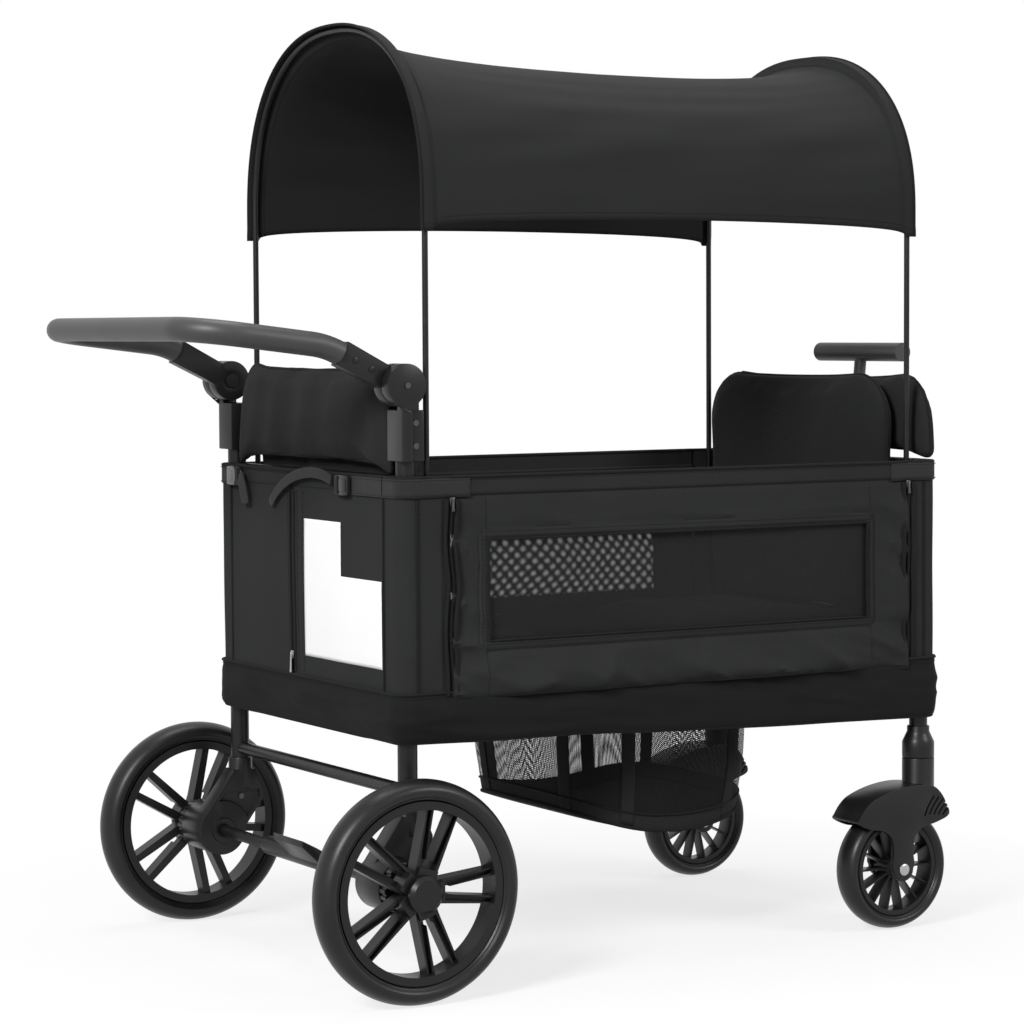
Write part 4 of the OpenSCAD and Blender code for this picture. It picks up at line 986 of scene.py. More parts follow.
@dataclass
class Canopy:
    """Cloth stretched over the two bows, sagging between them."""

    shop: Workshop
    rear_bow: float = PLACES.rear_x + 0.032
    front_bow: float = PLACES.front_x - 0.021
    pole_y: float = 0.25
    pole_r: float = 0.004
    rear_rise: float = 0.244
    front_rise: float = 0.231
    power: float = 2.3
    over: float = 0.008
    off: float = 0.0062
    spring: float = 1.02
    hem: float = 0.987
    hem_rise: float = 0.018
    sag: float = 0.045
    sleeve: float = 0.014
    steps: int = 132
    rows: int = 110
    hem_stitch: float = 0.0118

    def reach(self, u: float) -> float:
        """Place along X for a share of the length, closer together at the bows."""
        x0, x1 = self.rear_bow - self.over, self.front_bow + self.over
        return stops(u, [(0, x0), (0.2, x0 + 0.06), (0.8, x1 - 0.06), (1, x1)])

    def fade(self, x: float) -> float:
        """Sag share at a place along X: 0 on the bows, 1 in the middle."""
        share = (x - self.rear_bow - 0.008) / (self.front_bow - self.rear_bow - 0.016)
        return abs(math.sin(math.pi * clip(share))) ** 0.3

    def rise(self, x: float) -> float:
        """Height of the bows above their straight poles at a place along X."""
        share = (x - self.rear_bow) / (self.front_bow - self.rear_bow)
        return self.rear_rise + (self.front_rise - self.rear_rise) * clip(share)

    def arch(self, share: float, wide: float, top: float) -> tuple[float, float]:
        """Point of a full-shouldered arch at a share of its turn, across and up."""
        c, s, p = math.cos(math.pi * share), math.sin(math.pi * share), 2 / self.power
        return wide * shoulder(c, p), top * abs(s) ** p

    @cached_property
    def arc(self) -> float:
        """Length of the cloth over the rear bow's arch."""
        line = [self.arch(s, self.pole_y + self.off, self.rear_rise + self.off) for s in spread(0.0, 1.0, 90)]
        return sum(math.dist(a, b) for a, b in zip(line, line[1:]))

    def girth(self) -> float:
        """Length of the cloth from hem to hem over a bow."""
        return 2 * (self.spring - self.hem) + self.arc

    def point(self, x: float, v: float, lift: float = 0.0) -> Vector:
        """Place on the cloth.

        Args:
            x: Place along the wagon.
            v: Share of the way from the left hem to the right hem.
            lift: Distance outwards from the cloth.

        Returns:
            The point.
        """
        fade = self.fade(x)
        side = self.spring - self.hem - self.hem_rise * fade
        run = v * (2 * side + self.arc)
        turn = clip((run - side) / self.arc)
        drop = side - run if run < side else max(run - side - self.arc, 0.0)
        bow = min(abs(x - self.rear_bow), abs(x - self.front_bow))
        puff = 0.0010 * bell(bow, 0.008) - 0.0012 * bell(bow - self.sleeve, 0.0016)
        hem = min(v, 1 - v) * self.girth()
        puff += 0.0008 * (hem < 0.011) - 0.0006 * bell(hem - 0.0125, 0.002)
        drape = fade * (0.0035 * ripple((x * 2.4, v * 9.0, 0.0), 3.1)
                        + 0.0022 * ripple((x * 5.0 + v * 6.0, v * 22.0, 0.0), 8.4)
                        + 0.002 * bell(abs(v - 0.5) - 0.34, 0.05) * math.sin(x * 23.0 + v * 30.0))
        grow = self.off + puff + drape + lift
        across, up = self.arch(turn, self.pole_y + grow, self.rise(x) + grow - self.sag * fade)
        return Vector((x, across, self.spring + up - drop))

    def bow(self, node: str, x: float, rise: float) -> None:
        """Smooth tube of one bow, from foot to foot.

        Args:
            node: Node of the part that it stands for.
            x: Place along the wagon.
            rise: Height of its arch above the straight poles.
        """
        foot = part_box(node)[0].z
        line = [Vector((x, across, self.spring + up)) for across, up in
                (self.arch(s, self.pole_y, rise) for s in spread(0.0, 1.0, 64))]
        ends = [Vector((x, s * self.pole_y, foot)) for s in (1, -1)]
        tube = Shaper.tube([ends[0], *line, ends[1]], self.pole_r, sides=4)
        self.shop.place(node + ".round", tube, "tube", self.shop.slots[node], self.shop.bodies[node], (node,))

    def build(self) -> None:
        """Bows, cloth, bound edges and rows of stitches."""
        self.bow("rear_bow", self.rear_bow, self.rear_rise)
        self.bow("front_bow", self.front_bow, self.front_rise)
        length = self.front_bow - self.rear_bow + 2 * self.over
        bm = Shaper.sheet(self.steps, self.rows, lambda u, v: self.point(self.reach(u), v), (length, self.girth()))
        cloth = self.shop.place("canopy_cloth", bm, "canopy_cloth", "canopy_fabric", "rear_canopy",
                                ("canopy_sheet",), wall=0.0014)
        shares = spread(0.0, 1.0, self.rows)
        edges = [Shaper.tube([self.point(x, v, 0.0004) for v in shares], SEWING.piping)
                 for x in (self.reach(0.0), self.reach(1.0))]
        binding = self.shop.trim("canopy_binding", Shaper.join(edges), "rear_canopy", "canopy_fabric")
        rows = [[self.point(bow + s * (self.sleeve - 0.002), v, 0.0016) for v in shares]
                for bow, s in ((self.rear_bow, 1), (self.front_bow, -1))]
        rows += [[self.point(self.reach(u), v, 0.0017) for u in shares]
                 for v in (self.hem_stitch, 1 - self.hem_stitch)]
        seams = self.shop.trim("canopy_stitches", Shaper.stitches(rows), "rear_canopy", "canopy_fabric")
        self.girth()
        for piece in (cloth, binding, seams):
            PLACES.keep(self.rear_bow, self.front_bow)
            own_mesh(piece)


@dataclass
class SideWalls:
    """Long fabric walls, each with a net window."""

    shop: Workshop
    window: tuple[float, float, float, float] = (PLACES.rear_x + 0.112, PLACES.front_x - 0.108, 0.452, 0.585)
    lip: float = 0.013
    frame: float = 0.014
    stitch: float = 0.0004

    @property
    def span(self) -> tuple[float, float]:
        """Ends of a wall along X, at the corner zips."""
        return PLACES.rear_x + PLACES.rear_zip + 0.0006, PLACES.front_x - PLACES.front_zip - 0.0006

    def frame_gap(self, x: float, z: float) -> float:
        """Distance from the window's edge, 0 inside it."""
        x0, x1, z0, z1 = self.window
        return math.hypot(max(x0 - x, 0.0, x - x1), max(z0 - z, 0.0, z - z1))

    def point(self, side: int, x: float, z: float, lift: float = 0.0) -> Vector:
        """Place on a wall.

        Args:
            side: 1 on the left, -1 on the right.
            x: Place along the wagon.
            z: Height.
            lift: Distance outwards from the cloth.

        Returns:
            The point.
        """
        x0, x1 = self.span
        share = (x - x0) / (x1 - x0)
        up = (z - PLACES.tub_bottom) / (PLACES.tub_top - PLACES.tub_bottom)
        gap = self.frame_gap(x, z)
        out = 0.0022 * math.sin(math.pi * share) * math.sin(math.pi * up)
        calm = clip((PLACES.band - 0.012 - z) / 0.03)
        out += 0.0016 * (0.2 + 0.8 * calm) * ripple((x * 11, z * 9, side), 9.2)
        sill = self.window[2] - 0.012
        below = clip((sill - z) / (sill - PLACES.tub_bottom))
        pouch = math.sin(math.pi * below ** 2.2) ** 0.7 * min(1.0, 6 * share, 6 * (1 - share))
        out += pouch * (0.0095 + 0.004 * ripple((x * 4.5, z * 6, side), 1.9))
        slant = Vector((x * 8 + z * 17, z * 9 - x * 4, side * 1.5))
        out += math.sqrt(pouch) * (0.012 * crease(slant, 7.3) + 0.003 * crease(slant * 2.1, 3.9))
        ends = bell(min(x - x0, x1 - x), 0.045)
        out += calm * ends * 0.009 * (crease((x * 9, z * 24 + x * 11, side), 2.2) - 0.3)
        out += calm * 0.0025 * crease((x * 3, z * 26 + x * 2, side), 5.1) * (z > self.window[3])
        out += 0.0009 * (gap < self.lip) - 0.0013 * bell(gap - self.lip - 0.001, 0.0014)
        out += 0.001 * (z > PLACES.band) - 0.0016 * bell(z - PLACES.band, 0.0016)
        return Vector((x, side * (PLACES.side_out + out + lift), z))

    def build(self) -> None:
        """Walls, nets, bindings and stitches of both sides."""
        for side, word in SIDES:
            self.wall(side, word)
            self.net(side, word)

    def wall(self, side: int, word: str) -> None:
        """One wall with its window cut out.

        Args:
            side: 1 on the left, -1 on the right.
            word: Name of the side.
        """
        x0, x1 = self.span
        wx0, wx1, wz0, wz1 = self.window
        edge = self.frame
        xs = [(0, x0), (0.12, wx0 - edge), (0.16, wx0), (0.84, wx1), (0.88, wx1 + edge), (1, x1)]
        zs = [(0, PLACES.tub_bottom), (0.28, wz0 - edge), (0.34, wz0), (0.60, wz1), (0.66, wz1 + edge),
              (0.82, PLACES.band), (1, PLACES.tub_top)]
        bm = Shaper.sheet(150, 50, lambda u, v: self.point(side, stops(u, xs), stops(v, zs)),
                          (x1 - x0, PLACES.tub_top - PLACES.tub_bottom))
        hole = [f for f in bm.faces if self.frame_gap(*f.calc_center_median().xz) <= 0.0]
        bmesh.ops.delete(bm, geom=hole, context="FACES")
        wall = self.shop.place(f"side_wall_{word}", bm, "tub_cloth", "tub_fabric", "rear_frame", ("side_walls",),
                               wall=SEWING.cloth)
        long = spread(x0, x1, 60)

        def around(d: float, count: int, lift: float) -> Line:
            """Closed line at a distance round the window.

            Args:
                d: Distance from the window's edge.
                count: Steps of each side.
                lift: Distance outwards from the cloth.

            Returns:
                The line, without its last point.
            """
            ring = [(wx0 - d, wz0 - d), (wx1 + d, wz0 - d), (wx1 + d, wz1 + d), (wx0 - d, wz1 + d)]
            return [self.point(side, a[0] + (b[0] - a[0]) * i / count, a[1] + (b[1] - a[1]) * i / count, lift)
                    for a, b in zip(ring, ring[1:] + ring[:1]) for i in range(count)]

        def level(z: float, lift: float) -> Line:
            """Line along the wall at a height."""
            return [self.point(side, x, z, lift) for x in long]

        pipes = Shaper.join([
            Shaper.tube(around(0.0, 30, 0.0002), 0.0016, closed=True),
            Shaper.tube(level(PLACES.tub_top, -0.0008), SEWING.top_piping),
            Shaper.tube(level(PLACES.tub_bottom, -0.0008), SEWING.low_piping)])
        piping = self.shop.trim(f"side_piping_{word}", pipes, "rear_frame")
        inner, outer = 0.0045, 0.0105
        rows = [around(inner, 40, self.stitch), around(outer, 40, self.stitch)]
        rows += [level(z, self.stitch) for z in (PLACES.band + 0.004, PLACES.tub_top - 0.004)]
        rows += [[self.point(side, x, z, self.stitch) for z in spread(PLACES.tub_bottom, PLACES.band, 40)]
                 for x in (wx0 - inner, wx1 + inner)]
        seams = self.shop.trim(f"side_stitches_{word}", Shaper.stitches(rows), "rear_frame")
        for piece in (wall, piping, seams):
            self.squash(piece)

    def squash(self, piece: Piece) -> None:
        """Gives a piece of the wall its own copy of its mesh."""
        x0, x1 = self.span
        PLACES.keep(x0, x1)
        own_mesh(piece)

    def net(self, side: int, word: str) -> None:
        """Net sewn behind a window.

        Args:
            side: 1 on the left, -1 on the right.
            word: Name of the side.
        """
        wx0, wx1, wz0, wz1 = self.window
        lap = 0.009
        size = (wx1 - wx0 + 2 * lap, wz1 - wz0 + 2 * lap)

        def place(u: float, v: float) -> Vector:
            """Point of the net, a little slack in the middle.

            Args:
                u: Share of the length.
                v: Share of the height.

            Returns:
                The point.
            """
            x, z = wx0 - lap + size[0] * u, wz0 - lap + size[1] * v
            slack = 0.004 * math.sin(math.pi * u) * math.sin(math.pi * v)
            slack += (0.002 * ripple((x * 9, z * 12, side), 6.0)
                      * math.sin(math.pi * u) * math.sin(math.pi * v))
            return Vector((x, side * (PLACES.side_out - 0.0034 - slack), z))

        bm = Shaper.sheet(60, 16, place, size)
        if side > 0:
            bmesh.ops.reverse_faces(bm, faces=bm.faces)
        net = self.shop.place(f"window_net_{word}", bm, "net", "net", "rear_frame", ("side_nets",))
        self.squash(net)


class End(Enum):
    """Which end of the wagon a wall or corner closes: body and way along X."""

    REAR = ("rear", 1)
    FRONT = ("front", -1)

    @property
    def word(self) -> str:
        """Name of the end."""
        return self.value[0]

    @property
    def way(self) -> int:
        """Direction along X to the middle of the wagon."""
        return self.value[1]

    @property
    def body(self) -> str:
        """Body that carries the end."""
        return self.word + "_frame"

    @property
    def post_x(self) -> float:
        """Place of the posts."""
        return PLACES.rear_x if self is End.REAR else PLACES.front_x

    @property
    def lap(self) -> float:
        """Length of the sleeve along the side wall."""
        return PLACES.rear_zip if self is End.REAR else PLACES.front_zip


@dataclass
class EndWalls:
    """Rear and front fabric walls, with the door zip and the vinyl patch at the rear."""

    shop: Workshop
    zip_y: float = 0.033
    zip_low: float = 0.394
    zip_high: float = 0.640
    patch: tuple[float, float, float] = (-0.222, -0.110, -0.002)
    patch_z: tuple[float, float, float] = (0.417, 0.532, 0.604)
    pull_hole: tuple[float, float, float] = (0.0304, 0.4036, 0.4444)
    stitch: float = 0.0005

    @property
    def half(self) -> float:
        """Half width of a wall between the corner sleeves."""
        return PLACES.post_y - PLACES.corner_flap - 0.0006

    @property
    def zip_rows(self) -> list[float]:
        """Heights along the door zip."""
        return spread(self.zip_low, self.zip_high, 40)

    def point(self, end: End, y: float, z: float, lift: float = 0.0) -> Vector:
        """Place on an end wall.

        Args:
            end: Rear or front.
            y: Place across the wagon.
            z: Height.
            lift: Distance outwards from the cloth.

        Returns:
            The point.
        """
        up = (z - PLACES.tub_bottom) / (PLACES.tub_top - PLACES.tub_bottom)
        flat = bell(y + 0.11, 0.12) * bell(z - 0.51, 0.10) if end is End.REAR else 0.0
        out = 0.0016 * math.cos(math.pi * y / (2 * self.half)) * math.sin(math.pi * up)
        out += (1 - 0.8 * flat) * 0.0018 * ripple((y * 13, z * 5, 1.0), 5.5)
        low = max(0.0, 1 - (z - PLACES.tub_bottom) / 0.05)
        out += low * 0.0026 * ripple((y * 9, z * 40, 2.0), 1.5)
        if end is End.REAR:
            inside, away = self.zip_low - 0.02 < z < self.zip_high + 0.01, y - self.zip_y
            out += inside * (0.0006 * bell(abs(away) - 0.009, 0.003) - 0.0024 * bell(away, 0.004))
            out -= inside * 0.0010 * bell(away + 0.028, 0.0016)
        out += top_band(z)
        face = PLACES.rear_out if end is End.REAR else PLACES.front_out
        return Vector((face - end.way * (out + lift), y, z))

    def build(self) -> None:
        """Both walls, the patch and the door zip."""
        for end in End:
            self.wall(end)
        self.vinyl()
        self.zipper()

    def wall(self, end: End) -> None:
        """One end wall; the front one has the hole for the pull handle's base.

        Args:
            end: Rear or front.
        """
        low, high, half = PLACES.tub_bottom, PLACES.tub_top, self.half
        side, sill, head = self.pull_hole
        ys = [(0, half), (0.4, side), (0.6, -side), (1, -half)]
        zs = [(0, low), (0.1, sill), (0.24, head), (1, high)]
        bm = Shaper.sheet(120, 50, lambda u, v: self.point(end, stops(u, ys), stops(v, zs)), (2 * half, high - low))
        if end is End.FRONT:
            middles = {f: f.calc_center_median() for f in bm.faces}
            hole = [f for f, c in middles.items() if abs(c.y) < side and sill < c.z < head]
            bmesh.ops.delete(bm, geom=hole, context="FACES")
        wall = self.shop.place(f"{end.word}_wall_cloth", bm, "tub_cloth", "tub_fabric", end.body,
                               (f"{end.word}_wall",), wall=SEWING.cloth)
        row = spread(half, -half, 60)
        pipes = [Shaper.tube([self.point(end, y, z, -0.0006) for y in row], r)
                 for z, r in ((high, SEWING.top_piping), (low, SEWING.low_piping))]
        piping = self.shop.trim(f"{end.word}_wall_piping", Shaper.join(pipes), end.body)
        lines = [[self.point(end, y, z, self.stitch) for y in row]
                 for z in (high - 0.004, PLACES.band + 0.004, low + 0.008)]
        if end is End.REAR:
            lines += [[self.point(end, self.zip_y + d, z, self.stitch) for z in self.zip_rows]
                      for d in (0.014, -0.014, -0.031)]
        seams = self.shop.trim(f"{end.word}_wall_stitches", Shaper.stitches(lines), end.body)

    def vinyl(self) -> None:
        """White patch that follows the rear wall."""
        (y0, y1, y2), (z0, z1, z2) = self.patch, self.patch_z
        ys, zs = [(0, y2), (0.5, y1), (1, y0)], [(0, z0), (0.6, z1), (1, z2)]
        bm = Shaper.sheet(48, 40, lambda u, v: self.point(End.REAR, stops(u, ys), stops(v, zs), 0.0009),
                          (y2 - y0, z2 - z0))
        middles = {f: f.calc_center_median() for f in bm.faces}
        gone = [f for f, c in middles.items() if c.y < y1 and c.z > z1]
        bmesh.ops.delete(bm, geom=gone, context="FACES")
        patch = self.shop.place("vinyl_sheet", bm, "vinyl", "white_vinyl", "rear_frame", ("vinyl_patch",), wall=0.0006)

    def zipper(self) -> None:
        """Door zip with its piping, teeth and slider."""
        pipes = [Shaper.tube([self.point(End.REAR, self.zip_y + d, z, 0.0008) for z in self.zip_rows],
                             SEWING.piping) for d in (-0.0062, 0.0062)]
        self.shop.trim("door_piping", Shaper.join(pipes), "rear_frame")
        line = [self.point(End.REAR, self.zip_y, z, 0.0012) for z in self.zip_rows]
        self.shop.place("door_teeth", teeth(line, Vector((0, 1, 0))), "moulded", "black_plastic", "rear_frame")
        low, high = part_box("zip_puller")
        pull = slider(Vector((high.x - 0.0032, self.zip_y, high.z - 0.006)), Vector((-1, 0, 0)),
                      high.z - low.z - 0.008)
        self.shop.place("door_slider", pull, "plated", "steel", "zip_slider", ("zip_puller",))


def teeth(line: Line, across: Vector, pitch: float = 0.0028,
          tooth: tuple[float, float, float] = (0.0018, 0.0026, 0.0011)) -> Mesh:
    """Two rows of zip teeth along a line.

    Args:
        line: Middle of the zip.
        across: Direction from one row to the other.
        pitch: Distance between teeth of one row.
        tooth: Size of one tooth.

    Returns:
        The teeth.
    """
    bm = bmesh.new()
    run = sum((b - a).length for a, b in zip(line, line[1:]))
    for i in range(int(run / (pitch / 2))):
        place = i * pitch / 2
        for a, b in zip(line, line[1:]):
            size = (b - a).length
            if place <= size:
                spot = a + (b - a) * (place / size) + across * (0.0010 * (1 if i % 2 else -1))
                Shaper.cube(bm, spot, tooth)
                break
            place -= size
    return bm


def slider(centre: Vector, out: Vector, tail: float) -> Mesh:
    """Zip slider with a tab that hangs from its bridge.

    Args:
        centre: Middle of the slider's body.
        out: Outward direction from the cloth.
        tail: Length of the hanging tab.

    Returns:
        The slider and its tab.
    """
    across = Vector((0, 0, 1)).cross(out)

    def line(*places: tuple[float, float, float]) -> Line:
        """Points by distances outwards, across and up."""
        return [centre + out * o + across * a + Vector((0, 0, z)) for o, a, z in places]

    body = Shaper.plate(line((-0.001, -0.0042, 0.006), (-0.001, 0.0042, 0.006), (-0.001, 0.003, -0.005),
                             (-0.001, -0.003, -0.005)), out * 0.0018, 0.0005)
    bridge = Shaper.tube(line((0.0005, 0, 0.0045), (0.0024, 0, 0.003), (0.0026, 0, -0.002), (0.0005, 0, -0.004)),
                         0.0007, sides=3)
    tab = Shaper.plate(line((0.0016, -0.0016, 0.0), (0.0016, 0.0016, 0.0), (0.0022, 0.0026, -tail),
                            (0.0022, -0.0026, -tail)), out * 0.0011, 0.0004)
    return Shaper.join([body, bridge, tab])


@dataclass
class CornerSleeves:
    """Fabric sleeves round the corner posts, with the corner zips."""

    shop: Workshop
    zip_low: float = 0.384
    zip_high: float = 0.640
    seam: float = 0.006
    stitch: float = 0.0006

    def run(self, end: End) -> float:
        """Length of a sleeve round its corner."""
        return PLACES.corner_flap + PLACES.corner_arc + end.lap

    def point(self, end: End, side: int, s: float, z: float, lift: float = 0.0) -> Vector:
        """Place on a sleeve.

        Args:
            end: Rear or front.
            side: 1 on the left, -1 on the right.
            s: Distance along the sleeve from its edge on the end wall.
            z: Height.
            lift: Distance outwards from the cloth.

        Returns:
            The point.
        """
        r, flap, arc = PLACES.corner_r, PLACES.corner_flap, PLACES.corner_arc
        zipped = bell(self.run(end) - s, 0.022)
        out = lift + zipped * 0.0022 * ripple((s * 30, z * 22, side), 7.7 + end.way)
        out += 0.0010 * ripple((s * 18, z * 8, side), 3.3 + end.way)
        out += top_band(z)
        out -= 0.0012 * bell(s - flap - arc - self.seam, 0.0016)
        turn = math.pi - min(max((s - flap) / r, 0.0), math.pi / 2)
        a = (r + out) * math.cos(turn) + max(s - flap - arc, 0.0)
        b = (r + out) * math.sin(turn) - max(flap - s, 0.0)
        return Vector((end.post_x + end.way * a, side * (PLACES.post_y + b), z))

    def build(self) -> None:
        """Sleeves, piping and zips of the four corners."""
        for end in End:
            self.corners(end)

    def corners(self, end: End) -> None:
        """Both corners of one end.

        Args:
            end: Rear or front.
        """
        run, low, high = self.run(end), PLACES.tub_bottom, PLACES.tub_top
        edge = PLACES.corner_flap + PLACES.corner_arc + self.seam
        steps, zipped = spread(low, high, 50), spread(self.zip_low, self.zip_high, 50)
        sleeves, pipes, caps, rows, toothed, pulls = [], [], [], [], [], []
        for side, _ in SIDES:
            sleeves.append(Shaper.sheet(
                56, 50, lambda u, v: self.point(end, side, u * run, low + (high - low) * v), (run, high - low)))
            pipes += [Shaper.tube([self.point(end, side, s, z, 0.0006) for z in steps], SEWING.piping)
                      for s in (0.0, edge)]
            sway = [0.0040 * ripple((0.0, z * 16, side * 3.0), 2.0 + end.way) for z in zipped]
            pipes += [Shaper.tube([self.point(end, side, run + d + w, z, 0.0030) for z, w in zip(zipped, sway)],
                                  0.0025) for d in (-0.0078, 0.0072)]
            toothed.append(teeth([self.point(end, side, run + w - 0.0005, z, 0.0026)
                                  for z, w in zip(zipped, sway)], Vector((1, 0, 0))))
            rows += [[self.point(end, side, s, z, self.stitch) for z in steps]
                     for s in (0.004, edge + 0.004, run - 0.013)]
            caps += [Shaper.tube([self.point(end, side, s, z, -0.0006) for s in spread(0.0, run, 50)], 0.0024)
                     for z in (high, low)]
            pulls.append(slider(self.point(end, side, run, self.zip_high - 0.004, 0.0042), Vector((0, side, 0)),
                                0.012))
        sleeve = self.shop.place(f"{end.word}_sleeves", Shaper.join(sleeves), "tub_cloth", "tub_fabric", end.body,
                                 (f"{end.word}_corners",), wall=SEWING.cloth)
        piping = self.shop.trim(f"{end.word}_corner_piping", Shaper.join(pipes + caps), end.body)
        seams = self.shop.trim(f"{end.word}_corner_stitches", Shaper.stitches(rows), end.body)
        zips = self.shop.place(f"{end.word}_corner_teeth", Shaper.join(toothed), "moulded", "black_plastic", end.body)
        ring, tall = PLACES.corner_arc, high - low
        2 * (PLACES.corner_flap + ring + end.lap)
        self.shop.place(f"{end.word}_corner_sliders", Shaper.join(pulls), "dark_zinc", "steel", end.body)


@dataclass
class Skirt:
    """Soft band below the walls, deeper towards the front."""

    shop: Workshop
    radius: float = 0.0232
    top: float = 0.388
    rear_low: float = 0.325
    front_low: float = 0.303
    steps: int = 300

    def ring(self, u: float) -> tuple[Vector, Vector]:
        """Place and outward direction round the four posts.

        Args:
            u: Share of the way round.

        Returns:
            The place and the direction.
        """
        long, wide = PLACES.front_x - PLACES.rear_x, 2 * PLACES.post_y
        arc = self.radius * math.pi / 2
        left = u * (2 * long + 2 * wide + 4 * arc)
        corner = Vector((PLACES.front_x, -PLACES.post_y, 0))
        for q, run in enumerate((wide, long, wide, long)):
            turn = q * math.pi / 2
            out = Vector((math.cos(turn), math.sin(turn), 0))
            way = Vector((-out.y, out.x, 0))
            if left <= run:
                return corner + way * left, out
            left -= run
            corner = corner + way * run
            if left <= arc:
                turn += left / self.radius
                return corner.copy(), Vector((math.cos(turn), math.sin(turn), 0))
            left -= arc
        return Vector((PLACES.front_x, -PLACES.post_y, 0)), Vector((1, 0, 0))

    def low(self, x: float) -> float:
        """Lower edge at a place along X."""
        share = (x - PLACES.rear_x) / (PLACES.front_x - PLACES.rear_x)
        return self.rear_low + (self.front_low - self.rear_low) * clip(share)

    def point(self, u: float, v: float) -> Vector:
        """Place on the band, v from its top edge down to its rolled lower edge.

        Args:
            u: Share of the way round.
            v: Share of the way down.

        Returns:
            The point.
        """
        base, out = self.ring(u % 1.0)
        down = min(v / 0.9, 1.0)
        z = self.top + (self.low(base.x + out.x * self.radius) - self.top) * down
        spot = Vector((base.x + out.x * 0.02, base.y + out.y * 0.02, 0.0))
        slack = math.sin(math.pi * down)
        puff = 0.0018 * slack + 0.0034 * slack * ripple((spot.x * 9, spot.y * 9, z * 26), 6.1)
        puff += 0.0016 * slack * ripple((spot.x * 24, spot.y * 24, z * 40), 2.9)
        puff += 0.0035 * slack * crease((spot.x * 5, spot.y * 5, z * 45 + spot.x * 3), 8.8)
        puff -= 0.0045 * max(v - 0.82, 0.0) / 0.18 + 0.0008 * bell(v - 0.1, 0.02)
        droop = 0.0025 * ripple((spot.x * 7, spot.y * 7, 0.0), 4.4) * v
        reach = self.radius + puff
        return Vector((base.x + out.x * reach, base.y + out.y * reach, z + droop * (v < 0.999)))

    def build(self) -> None:
        """Band, its piping and its stitches."""
        run = 2 * (PLACES.front_x - PLACES.rear_x) + 4 * PLACES.post_y + 2 * math.pi * self.radius
        tall = self.top - (self.rear_low + self.front_low) / 2
        bm = Shaper.sheet(self.steps, 22, self.point, (run, tall))
        bmesh.ops.remove_doubles(bm, verts=bm.verts, dist=SEWING.weld)
        # The band's darker cloth is painted shade below the walls.
        band = self.shop.place("skirt_cloth_painted_shade", bm, "skirt_cloth_painted_shade", "tub_fabric", "rear_frame", ("skirt",), wall=0.0018)
        shares = [i / self.steps for i in range(self.steps)]
        pipes = [Shaper.tube([self.point(u, v) for u in shares], SEWING.low_piping, closed=True)
                 for v in (0.0, 0.985)]
        piping = self.shop.trim("skirt_piping", Shaper.join(pipes), "rear_frame")
        rows = [[self.point(u, v) for u in shares] for v in (0.07, 0.86)]
        seams = self.shop.trim("skirt_stitches", Shaper.stitches(rows), "rear_frame")
        x0, x1 = PLACES.rear_x - self.radius, PLACES.front_x + self.radius
        for piece in (band, piping, seams):
            PLACES.keep(x0, x1)
            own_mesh(piece)


